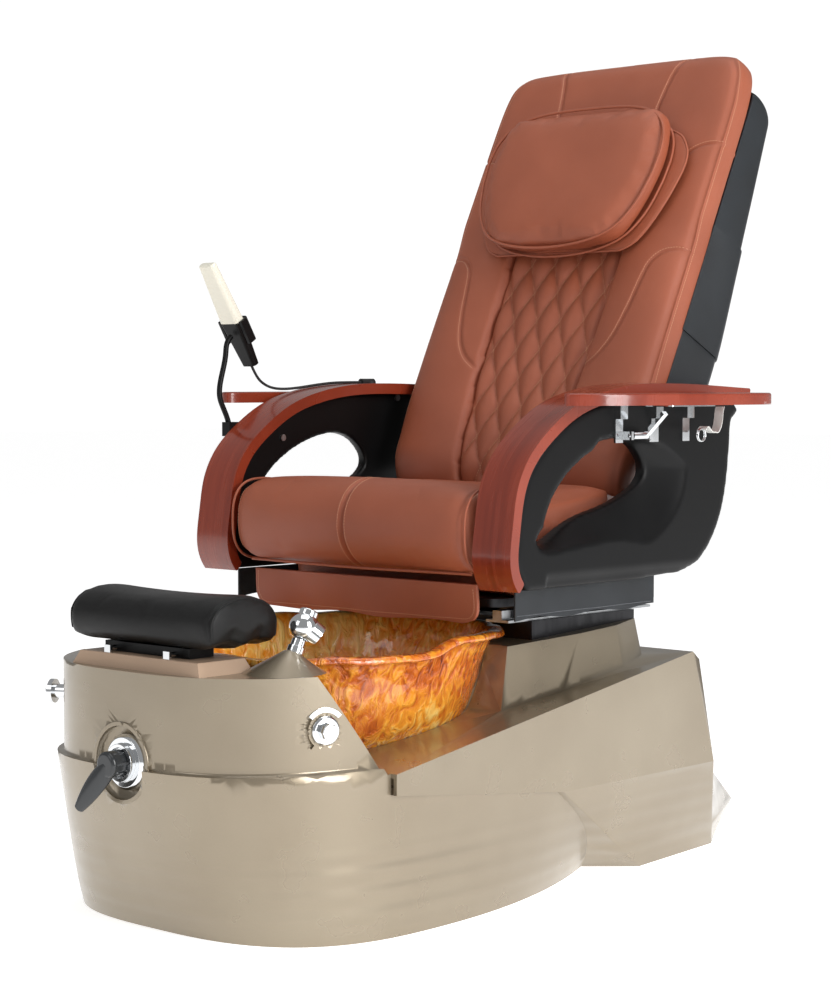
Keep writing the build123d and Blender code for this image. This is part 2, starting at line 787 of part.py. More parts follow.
def shell_block(inset):
    rear = [(y - inset * 1.1, z + inset * 0.4) for y, z in SHELL_REAR]
    crown = [(y - inset * 1.1, z - inset * 0.6) for y, z in SHELL_CROWN]
    crown[0] = rear[-1]
    depth = PAD_THICK + 0.5 - 20 * (inset > 0)
    head = back_plane(up=645 - inset, front=-depth).origin
    foot = back_plane(up=-160 - 6 * inset, front=-depth).origin
    heel = (rear[0][0] - 5 * inset, rear[0][1] - 8 * inset)
    with BuildPart() as block:
        with BuildSketch(Plane.YZ.offset(-SHELL_HALF + inset)):
            with BuildLine():
                Spline(*rear)
                Spline(*crown)
                Polyline(crown[-1], (head.Y, head.Z), (foot.Y, foot.Z), *([heel] if inset else []), rear[0])
            make_face()
        extrude(amount=2 * (SHELL_HALF - inset))
        if inset == 0:
            rim = block.faces().filter_by(Axis.X).edges().filter_by(GeomType.LINE, reverse=True)
            fillet(rim, 22)
    return block.part


with BuildPart() as back_shell:
    add(shell_block(0))
    add(shell_block(SHELL_WALL), mode=Mode.SUBTRACT)
save(back_shell, "back_shell")

FRAME_X, FRAME_DEEP = 245, -84
with BuildPart() as back_frame:
    for side in (-1, 1):
        with BuildSketch(Plane(back_plane(up=-130).origin, x_dir=(1, 0, 0), z_dir=BACK_UP)):
            with Locations((side * FRAME_X, -FRAME_DEEP)):
                Rectangle(25, 25)
        extrude(amount=730)
    for up in (-130, 575):
        with BuildSketch(back_plane(up=up + 12.5, front=FRAME_DEEP - 12.5)):
            Rectangle(2 * FRAME_X, 25)
        extrude(amount=25)
    for side in (-1, 1):
        lug_foot = back_plane(up=-130, front=FRAME_DEEP).origin
        with BuildSketch(Plane.YZ.offset(side * (FRAME_X + 6) - 6)):
            with BuildLine():
                Polyline(
                    (lug_foot.Y - 16, lug_foot.Z + 20), (lug_foot.Y + 16, lug_foot.Z + 20),
                    (PIVOT_Y + 18, PIVOT_Z), (PIVOT_Y - 18, PIVOT_Z), close=True,
                )
            make_face()
            with Locations((PIVOT_Y, PIVOT_Z)):
                Circle(18)
        extrude(amount=12)
        with BuildSketch(Plane.YZ.offset(side * 292 - 48)):
            with Locations((PIVOT_Y, PIVOT_Z)):
                Circle(PIVOT_R)
        extrude(amount=96)
    with BuildSketch(Plane.YZ.offset(DRIVE_X - 30)):
        with BuildLine():
            Polyline(
                (lug_foot.Y - 10, lug_foot.Z + 8), (lug_foot.Y + 10, lug_foot.Z + 10),
                (drive_eye.Y + 10, drive_eye.Z), (drive_eye.Y - 8, drive_eye.Z - 8), close=True,
            )
        make_face()
        with Locations((drive_eye.Y, drive_eye.Z)):
            Circle(5, mode=Mode.SUBTRACT)
    extrude(amount=12)
save(back_frame, "back_frame")

GUIDE_X, GUIDE_DEEP, GUIDE_R = 125, -84, 6
GUIDE_LOW, GUIDE_HIGH = -105, 575
along_back = Plane(back_plane(up=GUIDE_LOW).origin, x_dir=(1, 0, 0), z_dir=BACK_UP)
with BuildPart() as massage_guides:
    with BuildSketch(along_back):
        with GridLocations(2 * GUIDE_X, 0, 2, 1):
            with Locations((0, -GUIDE_DEEP)):
                Circle(GUIDE_R)
    extrude(amount=GUIDE_HIGH - GUIDE_LOW)
save(massage_guides, "massage_guides")

SCREW_DEEP = -112
screw_plane = Plane(back_plane(up=GUIDE_LOW + 8, front=SCREW_DEEP).origin, x_dir=(1, 0, 0), z_dir=BACK_UP)
with BuildPart() as lift_motor:
    with BuildSketch(screw_plane.offset(-18)):
        Rectangle(64, 50)
    extrude(amount=60)
    with BuildSketch(screw_plane.offset(-40)):
        Circle(6 + RUN_CLEAR)
    extrude(amount=120, mode=Mode.SUBTRACT)
    add(back_frame.part, mode=Mode.SUBTRACT)
save(lift_motor, "lift_motor")

with BuildPart() as lead_screw:
    with BuildSketch(screw_plane):
        Circle(6)
    extrude(amount=640)
save(lead_screw, "lead_screw")

CARRIAGE_UP = 30
SHAFT_UP, SHAFT_DEEP = CARRIAGE_UP + 55, -90
ROLLERS_AT = (-86, -40, 40, 86)
ROLLER_R = 26
ROLLER_WIDTH = 18
ROLLER_ROUND = 6
with BuildPart() as massage_carriage:
    with BuildSketch(back_plane(up=SHAFT_UP, front=-122)):
        Rectangle(290, 110)
    extrude(amount=18)
    for side in (-1, 1):
        with BuildSketch(back_plane(up=SHAFT_UP, front=-105, across=side * GUIDE_X)):
            Rectangle(34, 100)
        extrude(amount=34)
        with BuildSketch(back_plane(up=SHAFT_UP, front=-105, across=side * 65)):
            Rectangle(10, 60)
        extrude(amount=28)
    with BuildSketch(along_back.offset(-30)):
        with GridLocations(2 * GUIDE_X, 0, 2, 1):
            with Locations((0, -GUIDE_DEEP)):
                Circle(GUIDE_R + RUN_CLEAR)
        with Locations((0, -SCREW_DEEP)):
            Circle(6 + RUN_CLEAR)
    extrude(amount=800, mode=Mode.SUBTRACT)
    shaft_centre = back_plane(up=SHAFT_UP, front=SHAFT_DEEP).origin
    with BuildSketch(Plane.YZ.offset(-200)):
        with Locations((shaft_centre.Y, shaft_centre.Z)):
            Circle(5 + RUN_CLEAR)
    extrude(amount=400, mode=Mode.SUBTRACT)
    for across in ROLLERS_AT:
        with BuildSketch(Plane.YZ.offset(across - ROLLER_WIDTH / 2 - 1.5)):
            with Locations((shaft_centre.Y, shaft_centre.Z)):
                Circle(ROLLER_R + 1.5)
        extrude(amount=ROLLER_WIDTH + 3, mode=Mode.SUBTRACT)
save(massage_carriage, "massage_carriage")

with BuildPart() as knead_shaft:
    with BuildSketch(Plane.YZ.offset(-104)):
        with Locations((shaft_centre.Y, shaft_centre.Z)):
            Circle(5)
    extrude(amount=208)
save(knead_shaft, "knead_shaft")

with BuildPart() as rollers:
    for across in ROLLERS_AT:
        with BuildSketch(Plane.YZ.offset(across - ROLLER_WIDTH / 2)):
            with Locations((shaft_centre.Y, shaft_centre.Z)):
                Circle(ROLLER_R)
                Circle(5, mode=Mode.SUBTRACT)
        extrude(amount=ROLLER_WIDTH)
    outer_edges = [
        edge
        for edge in rollers.edges().filter_by(GeomType.CIRCLE)
        if edge.radius > ROLLER_R - 1
    ]
    fillet(outer_edges, ROLLER_ROUND)
save(rollers, "rollers")

PILLOW_EDGE = [
    (0, 262),
    (110, 266),
    (165, 292),
    (196, 372),
    (205, 450),
    (200, 512),
    (176, 556),
    (100, 562),
]
with BuildPart() as head_pillow:
    with BuildSketch(back_plane(front=8)):
        with BuildLine():
            Spline(*PILLOW_EDGE, *[(-x, y) for x, y in PILLOW_EDGE[:0:-1]], periodic=True)
        make_face()
    extrude(amount=60)
    fillet(head_pillow.faces().sort_by(Axis(BACK_ORIGIN, BACK_FRONT))[-1].edges(), 16)
save(head_pillow, "head_pillow")

# ------------------------------------------------------------------ folding trays
TRAY_IN, TRAY_OUT, TRAY_Z, TRAY_THICK = 389, 522, 824, 20
TRAY_HINGE = Vector(381, 0, 832)
with BuildPart() as tray_left:
    with BuildSketch(Plane.XY.offset(TRAY_Z)):
        with BuildLine():
            Line((TRAY_IN, -110), (TRAY_IN, 318))
            Spline(
                (TRAY_IN, 318), (455, 322), (506, 296), (TRAY_OUT, 220), (512, 90),
                (478, -40), (432, -120), (404, -138), (TRAY_IN, -110),
            )
        make_face()
    extrude(amount=TRAY_THICK)
    fillet(tray_left.faces().sort_by(Axis.Z)[-1].edges(), 4)
save(tray_left, "tray_left")

with BuildPart() as tray_right:
    mirror(tray_left.part, about=Plane.YZ)
save(tray_right, "tray_right")

STAY_X, STAY_Z = 384, 772
with BuildPart() as hinge_set:
    with BuildSketch(Plane.XZ.offset(-250)):
        with Locations((TRAY_HINGE.X, TRAY_HINGE.Z)):
            Circle(4)
    extrude(amount=220)
    for y in (45, 145, 235):
        with BuildSketch(Plane.XZ.offset(-y - 10)):
            with Locations((PANEL_OUT, 760)):
                Rectangle(4, 66, align=(Align.MIN, Align.MIN))
            with Locations((PANEL_OUT, 800)):
                Rectangle(TRAY_HINGE.X - PANEL_OUT, 26, align=(Align.MIN, Align.MIN))
            with Locations((ARM_OUT + 0.3, 800)):
                Rectangle(TRAY_HINGE.X - ARM_OUT, 36, align=(Align.MIN, Align.MIN))
        extrude(amount=20)
    with BuildSketch(Plane.XZ.offset(-112)):
        with Locations((STAY_X, STAY_Z)):
            Circle(3)
    extrude(amount=60)
    for y in (54, 104):
        with BuildSketch(Plane.XZ.offset(-y - 6)):
            with Locations((PANEL_OUT, STAY_Z - 7)):
                Rectangle(STAY_X - PANEL_OUT + 6, 14, align=(Align.MIN, Align.MIN))
        extrude(amount=6)
with BuildPart() as tray_hinges:
    add(hinge_set.part)
    mirror(hinge_set.part, about=Plane.YZ)
save(tray_hinges, "tray_hinges")

with BuildPart() as tray_plate_left:
    with BuildSketch(Plane.XY.offset(TRAY_Z - 3)):
        with Locations((TRAY_IN + 5, 145)):
            Rectangle(60, 130, align=(Align.MIN, Align.CENTER))
    extrude(amount=3)
    for y in (95, 195):
        with BuildSketch(Plane.XZ.offset(-y - 10)):
            with Locations((TRAY_HINGE.X, TRAY_HINGE.Z)):
                Circle(7)
                Circle(4 + RUN_CLEAR, mode=Mode.SUBTRACT)
        extrude(amount=20)
        with BuildSketch(Plane.XZ.offset(-y - 10)):
            with Locations((TRAY_HINGE.X + 3, TRAY_Z - 3)):
                Rectangle(20, 3, align=(Align.MIN, Align.MIN))
        extrude(amount=20)
    fillet(tray_plate_left.edges().filter_by(Axis.Z).sort_by(Axis.X)[-2:], 8)
save(tray_plate_left, "tray_plate_left")

with BuildPart() as tray_plate_right:
    mirror(tray_plate_left.part, about=Plane.YZ)
save(tray_plate_right, "tray_plate_right")

# lid stay under each tray; its upper end slides free under the tray plate
with BuildPart() as stay_left:
    with BuildSketch(Plane.XZ.offset(-102)):
        with Locations((STAY_X, STAY_Z)):
            Circle(7)
            Circle(3 + RUN_CLEAR, mode=Mode.SUBTRACT)
    extrude(amount=40)
    with BuildSketch(Plane.XZ.offset(-102)):
        with BuildLine():
            Polyline((388, 777), (393, 772), (430, 808), (425, 813), close=True)
        make_face()
    extrude(amount=12)
save(stay_left, "stay_left")

with BuildPart() as stay_right:
    mirror(stay_left.part, about=Plane.YZ)
save(stay_right, "stay_right")

# ------------------------------------------------------------------ remote control
REMOTE_X = -385
REMOTE_UP = Vector(0, -0.514, 0.858)
remote_plane = Plane(origin=(REMOTE_X, -89, 895), x_dir=(1, 0, 0), z_dir=REMOTE_UP)
REMOTE_SPLIT, REMOTE_LENGTH = 92, 212
with BuildPart() as remote_grip:
    with BuildSketch(remote_plane):
        RectangleRounded(34, 16, 7)
    with BuildSketch(remote_plane.offset(REMOTE_SPLIT)):
        RectangleRounded(50, 22, 9)
    loft()
save(remote_grip, "remote_grip")

with BuildPart() as remote_case:
    with BuildSketch(remote_plane.offset(REMOTE_SPLIT)):
        RectangleRounded(50, 22, 9)
    with BuildSketch(remote_plane.offset(REMOTE_LENGTH)):
        RectangleRounded(38, 16, 7)
    loft()
    fillet(remote_case.faces().sort_by(Axis(remote_plane.origin, REMOTE_UP))[-1].edges(), 5)
save(remote_case, "remote_case")

with BuildPart() as remote_cradle:
    with BuildSketch(remote_plane.offset(48)):
        RectangleRounded(62, 34, 12)
        RectangleRounded(51, 23.5, 9, mode=Mode.SUBTRACT)
        with Locations((0, -14)):
            Rectangle(70, 14, mode=Mode.SUBTRACT)
    extrude(amount=46)
save(remote_cradle, "remote_cradle")

NECK_FOOT = Vector(REMOTE_X, -146, 786)
cradle_back = remote_plane.offset(70).origin + Vector(0, -14, -9)
with BuildPart() as gooseneck:
    with BuildLine() as neck_path:
        Spline(
            NECK_FOOT, NECK_FOOT + Vector(0, -22, 50), cradle_back + Vector(0, -14, -34), cradle_back,
            tangents=[(0, -0.3, 1), (0, 0.8, 0.6)],
        )
    with BuildSketch(Plane(origin=NECK_FOOT, z_dir=neck_path.line % 0)):
        Circle(5)
    sweep()
    add(remote_cradle.part, mode=Mode.SUBTRACT)
    add(remote_grip.part, mode=Mode.SUBTRACT)
    with BuildSketch(Plane(origin=(-ARM_OUT, -142, 776), z_dir=(-1, 0, 0))):
        Rectangle(26, 30)
    extrude(amount=20)
save(gooseneck, "gooseneck")

GROMMET = Vector(-340, 158, 858)
with BuildPart() as cable_grommet:
    with BuildSketch(Plane(origin=GROMMET + Vector(0, 0, 4), x_dir=(1, 0, 0), z_dir=(0, 1, 0))):
        Circle(7)
    extrude(amount=34)
    with BuildSketch(Plane.XY.offset(846)):
        with Locations((GROMMET.X, GROMMET.Y + 26)):
            Circle(11)
    extrude(amount=18)
    add(arm_right.part, mode=Mode.SUBTRACT)
save(cable_grommet, "cable_grommet")

CABLE_R = 2.5
CABLE = [
    (-385, -89, 895), (-384.5, -79, 877), (-383, -64, 861), (-379, -42, 851), (-373, -14, 849),
    (-365, 18, 852), (-357, 52, 857), (-350, 88, 861), (-344, 124, 862), (-340, 158, 862),
]


def cord_radii(route):
    """The largest arc that fits at each corner of the route: 0.45 of its shorter run."""
    radii = []
    for before, corner, after in zip(route, route[1:], route[2:]):
        first, second = Vector(*corner) - Vector(*before), Vector(*after) - Vector(*corner)
        turn = radians(first.get_angle(second))
        radii.append(0.45 * min(first.length, second.length) / tan(turn / 2))
    return radii


cable_radii = cord_radii(CABLE)
with BuildPart() as remote_cable:
    with BuildLine() as cable_path:
        FilletPolyline(*CABLE, radius=cable_radii)
    with BuildSketch(Plane(origin=cable_path.line @ 0, z_dir=cable_path.line % 0)):
        Circle(CABLE_R)
    sweep()
save(remote_cable, "remote_cable")
print("cable radii", [round(r, 1) for r in cable_radii])
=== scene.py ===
import json
import math
import bpy
from mathutils import Matrix, Vector, noise
from mathutils.bvhtree import BVHTree
from mathutils.kdtree import KDTree


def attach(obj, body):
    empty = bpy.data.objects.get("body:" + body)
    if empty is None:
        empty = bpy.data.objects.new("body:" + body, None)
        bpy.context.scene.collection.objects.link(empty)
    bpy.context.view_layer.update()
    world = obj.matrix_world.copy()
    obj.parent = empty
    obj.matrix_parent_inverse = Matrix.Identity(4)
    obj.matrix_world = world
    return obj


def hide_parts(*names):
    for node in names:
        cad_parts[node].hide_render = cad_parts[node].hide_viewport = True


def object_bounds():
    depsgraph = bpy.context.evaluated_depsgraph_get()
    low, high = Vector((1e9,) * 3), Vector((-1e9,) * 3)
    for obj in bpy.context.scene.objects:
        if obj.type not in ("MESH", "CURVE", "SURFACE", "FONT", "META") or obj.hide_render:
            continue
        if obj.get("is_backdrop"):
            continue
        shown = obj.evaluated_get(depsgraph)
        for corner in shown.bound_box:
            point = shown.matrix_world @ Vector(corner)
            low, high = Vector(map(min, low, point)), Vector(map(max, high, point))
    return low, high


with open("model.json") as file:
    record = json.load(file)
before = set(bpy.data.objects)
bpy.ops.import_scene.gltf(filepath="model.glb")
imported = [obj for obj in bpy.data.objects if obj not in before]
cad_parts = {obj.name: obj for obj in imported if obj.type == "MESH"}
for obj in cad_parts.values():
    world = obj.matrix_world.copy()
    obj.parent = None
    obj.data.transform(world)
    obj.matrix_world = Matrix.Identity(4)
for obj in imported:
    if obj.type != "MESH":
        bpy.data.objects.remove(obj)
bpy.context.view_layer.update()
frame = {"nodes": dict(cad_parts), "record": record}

# ---------------------------------------------------------------- camera
eye = bpy.data.cameras.new("eye")
eye.lens = 83.3
eye.sensor_width = 36
eye.clip_end = 200
camera = bpy.data.objects.new("camera", eye)
camera.location = (2.746, -3.054, 0.861)
camera.rotation_euler = (math.radians(87.1), 0, math.radians(42.5))
bpy.context.scene.collection.objects.link(camera)
bpy.context.scene.camera = camera
bpy.context.scene.view_settings.view_transform = "Standard"


# ---------------------------------------------------------------- shader maths
class Signal:
    """A shader socket that Python sums work on."""

    def __init__(self, finish, socket):
        self.finish = finish
        self.socket = socket

    def __add__(self, other):
        return self.finish.sum("ADD", self, other)

    def __sub__(self, other):
        return self.finish.sum("SUBTRACT", self, other)

    def __rsub__(self, other):
        return self.finish.sum("SUBTRACT", other, self)

    def __mul__(self, other):
        return self.finish.sum("MULTIPLY", self, other)

    __radd__ = __add__
    __rmul__ = __mul__


def chip(red, green, blue):
    """A paint chip's 0-255 reading as a linear colour."""
    tones = [v / 255 for v in (red, green, blue)]
    return (*[t / 12.92 if t < 0.04 else ((t + 0.055) / 1.055) ** 2.4 for t in tones], 1)


class Finish:
    """One material being made. Every node but a sum comes from make()."""

    def __init__(self, name, colour, roughness=0.5, **constants):
        self.material = bpy.data.materials.new(name)
        self.material.use_nodes = True
        self.tree = self.material.node_tree
        self.shader = self.tree.nodes["Principled BSDF"]
        self.set("Base Color", colour)
        self.set("Roughness", roughness)
        for key, value in constants.items():
            self.set(key.replace("_", " "), value)
        self.place = self.make("TexCoord", out="Object")

    def set(self, socket, value):
        if isinstance(value, Signal):
            self.tree.links.new(value.socket, self.shader.inputs[socket])
        else:
            self.shader.inputs[socket].default_value = value

    def make(self, kind, settings=None, sockets=None, out=0):
        node = self.tree.nodes.new("ShaderNode" + kind)
        for key, value in (settings or {}).items():
            if key == "stops":
                ramp = node.color_ramp.elements
                while len(ramp) < len(value):
                    ramp.new(1)
                for stop, (at, colour) in zip(ramp, value):
                    stop.position = at
                    stop.color = colour
            else:
                setattr(node, key, value)
        for key, value in (sockets or {}).items():
            if isinstance(value, Signal):
                self.tree.links.new(value.socket, node.inputs[key])
            else:
                node.inputs[key].default_value = value
        return Signal(self, node.outputs[out])

    def sum(self, operation, first, second):
        return self.make("Math", {"operation": operation}, {0: first, 1: second})

    def stretch(self, scale, turn=(0, 0, 0)):
        return self.make("Mapping", {}, {"Vector": self.place, "Scale": scale, "Rotation": turn})

    def noise(self, scale, detail=3, where=None):
        return self.make("TexNoise", {}, {"Vector": where or self.place, "Scale": scale, "Detail": detail})

    def cells(self, scale, feature="F1", where=None):
        return self.make("TexVoronoi", {"feature": feature}, {"Vector": where or self.place, "Scale": scale})

    def mix(self, share, first, second):
        return self.make("Mix", {"data_type": "RGBA"}, {0: share, 6: first, 7: second}, out=2)

    def range(self, value, low, high, to_low=0, to_high=1):
        sockets = {0: value, 1: low, 2: high, 3: to_low, 4: to_high}
        return self.make("MapRange", {}, sockets)

    def bump(self, height, distance, strength=1):
        relief = {"Height": height, "Distance": distance, "Strength": strength}
        self.set("Normal", self.make("Bump", {}, relief))


def leather(name, light, dark, roughness, shine=0.5):
    finish = Finish(name, light, roughness, Specular_IOR_Level=shine)
    patch = finish.noise(7, 4)
    pores = finish.cells(1100, "DISTANCE_TO_EDGE")
    creases = finish.noise(1, 5, finish.stretch((45, 45, 160)))
    finish.set("Base Color", finish.mix(finish.range(patch, 0.35, 0.68), light, dark))
    finish.set("Roughness", finish.range(patch, 0.3, 0.7, roughness - 0.05, roughness + 0.06))
    finish.bump(finish.range(pores, 0, 0.12) * 0.6 + creases * 0.5, 0.0003, 0.6)
    return finish


def metal(name, colour, roughness, grain):
    finish = Finish(name, colour, roughness, Metallic=1)
    smear = finish.noise(1, 3, finish.stretch((grain, grain, 12)))
    finish.set("Roughness", finish.range(smear, 0.3, 0.7, roughness * 0.7, roughness * 1.4))
    finish.bump(smear, 0.0001, 0.15)
    return finish


def moulding(name, colour, roughness, grain, shine=0.5):
    finish = Finish(name, colour, roughness, Specular_IOR_Level=shine)
    spark = finish.noise(grain, 2)
    cloud = finish.noise(9, 3)
    dark = tuple(c * 0.86 for c in colour[:3]) + (1,)
    finish.set("Base Color", finish.mix(cloud, dark, colour))
    finish.set("Roughness", finish.range(cloud, 0.3, 0.7, roughness - 0.04, roughness + 0.06))
    finish.bump(spark, 0.0001, 0.15)
    return finish


paint = Finish(
    "champagne_paint", chip(160, 148, 127), 0.3, Metallic=0.6, Coat_Weight=0.6, Coat_Roughness=0.08
)
drift = paint.noise(3, 3)
flake = paint.noise(420, 1)
shade = paint.range(drift, 0.3, 0.7) * 0.8 + flake * 0.2
paint.set("Base Color", paint.mix(shade, chip(154, 142, 122), chip(138, 125, 105)))
paint.set("Roughness", paint.range(paint.noise(14, 3), 0.3, 0.7, 0.26, 0.36))
axes = paint.make("SeparateXYZ", {}, {0: paint.place}, out=2)
ripple = paint.sum("SINE", axes * 190, 0)
ripple = ripple * paint.range(axes, 0.13, 0.155, 1, 0) * paint.range(axes, 0.012, 0.03)
paint.bump(ripple * 0.4 + paint.noise(9, 2) * 0.05, 0.003, 0.5)

glass = Finish(
    "amber_crackle_glass", chip(214, 120, 20), 0.12, Coat_Weight=1.0, Coat_Roughness=0.03, IOR=1.5
)
pull = {"Vector": glass.stretch((1, 1, 0.45)), "Scale": 55, "Detail": 3, "Distortion": 1.2}
streak = glass.make("TexNoise", {}, pull)
pool = glass.noise(7, 3)
side = glass.make("SeparateXYZ", {}, {0: glass.place}, out=0)
# The last term is painted shade: it makes the bowl darker and redder towards +X, its right side as the
# camera sees it. The glass itself has no such colour.
streaks_with_side_shade = pool * 0.55 + streak * 0.55 - glass.range(side, 0.12, 0.27) * 0.16
AMBER = [
    (0.24, chip(120, 40, 8)), (0.38, chip(200, 96, 18)), (0.52, chip(240, 158, 44)),
    (0.68, chip(255, 222, 128)),
]
honey = glass.make("ValToRGB", {"stops": AMBER}, {"Fac": streaks_with_side_shade})
glass.set("Base Color", honey)
glass.set("Roughness", glass.range(pool, 0.3, 0.7, 0.05, 0.16))
glass.bump(streak, 0.008, 0.9)

wood = Finish("cherry_wood", chip(140, 52, 28), 0.26, Coat_Weight=0.45, Coat_Roughness=0.1)
figure = wood.noise(1, 5, wood.stretch((70, 5, 5)))
band = wood.noise(1, 2, wood.stretch((16, 2, 2)))
CHERRY = [(0.3, chip(108, 36, 18)), (0.5, chip(128, 46, 25)), (0.7, chip(146, 58, 33))]
veneer = wood.make("ValToRGB", {"stops": CHERRY}, {"Fac": figure * 0.6 + band * 0.4})
wood.set("Base Color", veneer)
wood.set("Roughness", wood.range(figure, 0.3, 0.7, 0.2, 0.32))
wood.bump(figure, 0.0003, 0.2)

brown = leather("brown_leather", chip(158, 84, 57), chip(148, 77, 51), 0.45)
black_hide = leather("black_leather", chip(26, 31, 36), chip(17, 20, 24), 0.34, 0.4)
foot_hide = leather("footrest_leather", chip(12, 11, 11), chip(7, 7, 7), 0.34, 0.3)
steel = metal("painted_frame_steel", chip(62, 62, 64), 0.42, 90)
zinc = metal("zinc_plate", chip(176, 178, 180), 0.34, 140)
chrome = metal("chrome_plate", chip(226, 228, 230), 0.08, 60)
plastic = moulding("black_moulding", chip(8, 8, 9), 0.4, 900, 0.2)
gloss = moulding("dark_gloss_moulding", chip(52, 54, 56), 0.18, 300)
cream = moulding("cream_moulding", chip(240, 236, 220), 0.3, 500)
rubber = moulding("black_rubber", chip(24, 24, 25), 0.6, 1200)
pipe = moulding("white_pipe", chip(226, 226, 222), 0.38, 300)
foam = moulding("roller_foam", chip(66, 66, 68), 0.85, 1500)
thread = moulding("waxed_thread", chip(214, 160, 128), 0.6, 900)
grey_thread = moulding("grey_thread", chip(120, 122, 126), 0.6, 900)
webbing = moulding("white_webbing", chip(226, 226, 222), 0.6, 700)
# The plinth's warm tan is a painted reflection of amber light from the bowl; the plinth itself is painted
# like the base.
plinth_amber_reflection = moulding("plinth_painted_amber_reflection", chip(184, 156, 132), 0.35, 700)

BY_SLOT = {
    "base_paint": paint, "frame_steel": steel, "zinc_steel": zinc, "chrome": chrome,
    "amber_glass": glass,
    "brown_leather": brown, "black_leather": black_hide, "black_plastic": plastic, "cherry_wood": wood,
    "dark_plastic": gloss, "cream_plastic": cream, "black_rubber": rubber, "white_pipe": pipe,
    "roller_foam": foam,
}
for part in frame["record"]["subparts"]:
    node = frame["nodes"][part["node"]]
    node.data.materials.clear()
    node.data.materials.append(BY_SLOT[part["material_slot"]].material)

# ---------------------------------------------------------------- remote cable
CABLE_WIDE = 0.005
CABLE = [
    (-0.385, -0.089, 0.895), (-0.3845, -0.079, 0.877), (-0.383, -0.064, 0.861), (-0.379, -0.042, 0.851),
    (-0.373, -0.014, 0.849), (-0.365, 0.018, 0.852), (-0.357, 0.052, 0.857), (-0.350, 0.088, 0.861),
    (-0.344, 0.124, 0.862), (-0.340, 0.158, 0.862),
]
lead = bpy.data.curves.new("remote_lead", "CURVE")
lead.dimensions = "3D"
run = lead.splines.new("NURBS")
run.points.add(len(CABLE) - 1)
for point, spot in zip(run.points, CABLE):
    point.co = (*spot, 1)
run.order_u = 3
run.use_endpoint_u = True
run.resolution_u = 12
lead.bevel_depth = CABLE_WIDE / 2
lead.bevel_resolution = 4
lead.use_fill_caps = True
lead.materials.append(rubber.material)
remote_lead = bpy.data.objects.new("remote_lead", lead)
bpy.context.scene.collection.objects.link(remote_lead)
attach(remote_lead, "seat")
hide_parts("remote_cable")

# ---------------------------------------------------------------- making tools
def start(kind, name, **where):
    """A primitive, alone selected, to be shaped into the named piece."""
    bpy.ops.object.select_all(action="DESELECT")
    getattr(bpy.ops.mesh, f"primitive_{kind}_add")(**where)
    piece = bpy.context.object
    piece.name = name
    piece.data.name = name
    bpy.ops.object.transform_apply(location=True, rotation=True, scale=True)
    return piece


def alone(piece):
    bpy.ops.object.select_all(action="DESELECT")
    piece.select_set(True)
    bpy.context.view_layer.objects.active = piece


def modify(piece, kind, **settings):
    alone(piece)
    modifier = piece.modifiers.new(kind, kind)
    for key, value in settings.items():
        setattr(modifier, key, value)
    bpy.ops.object.modifier_apply(modifier=modifier.name)


def edit(piece, *steps):
    """Runs edit mode operators on what is selected, each given as (operator, settings)."""
    alone(piece)
    bpy.ops.object.mode_set(mode="EDIT")
    for operator, settings in steps:
        operator(**settings)
    bpy.ops.object.mode_set(mode="OBJECT")


def divide(piece, cuts):
    edit(
        piece,
        (bpy.ops.mesh.select_all, {"action": "SELECT"}),
        (bpy.ops.mesh.subdivide, {"number_cuts": cuts}),
    )


def face_out(piece, merge=0):
    """Merges doubles closer than merge, if given, and turns every face outwards."""
    steps = [(bpy.ops.mesh.select_all, {"action": "SELECT"})]
    if merge:
        steps.append((bpy.ops.mesh.remove_doubles, {"threshold": merge}))
    edit(piece, *steps, (bpy.ops.mesh.normals_make_consistent, {"inside": False}))


def ease(piece, width, segments, angle):
    modify(piece, "BEVEL", width=width, segments=segments, limit_method="ANGLE", angle_limit=angle)


def choose(piece, wanted, kind="FACE"):
    """Selects the faces or vertices for which wanted(element) is true, and nothing else."""
    alone(piece)
    bpy.ops.object.mode_set(mode="EDIT")
    bpy.ops.mesh.select_mode(type=kind)
    bpy.ops.mesh.select_all(action="DESELECT")
    bpy.ops.object.mode_set(mode="OBJECT")
    for element in piece.data.polygons if kind == "FACE" else piece.data.vertices:
        element.select = wanted(element)


def sculpt(piece, move):
    for vertex in piece.data.vertices:
        vertex.co = move(vertex.co)
    piece.data.update()


def done(piece, finish, body, angle=35):
    """Gives a finished piece its material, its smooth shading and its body."""
    piece.data.materials.clear()
    piece.data.materials.append(finish.material)
    alone(piece)
    bpy.ops.object.shade_smooth_by_angle(angle=math.radians(angle))
    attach(piece, body)
    return piece


def between(table, at):
    """Reads a value from (place, value) pairs along the smooth curve through them."""
    if at <= table[0][0]:
        return table[0][1]
    if at >= table[-1][0]:
        return table[-1][1]
    i = next(k for k in range(1, len(table)) if at <= table[k][0])
    (a, low), (b, high) = table[i - 1], table[i]
    before, after = table[max(i - 2, 0)], table[min(i + 1, len(table) - 1)]
    t = (at - a) / (b - a)
    first = (high - before[1]) / (b - before[0]) * (b - a)
    last = (after[1] - low) / (after[0] - a) * (b - a)
    start_pull = low * (2 * t ** 3 - 3 * t * t + 1) + first * (t ** 3 - 2 * t * t + t)
    return start_pull + high * (3 * t * t - 2 * t ** 3) + last * (t ** 3 - t * t)


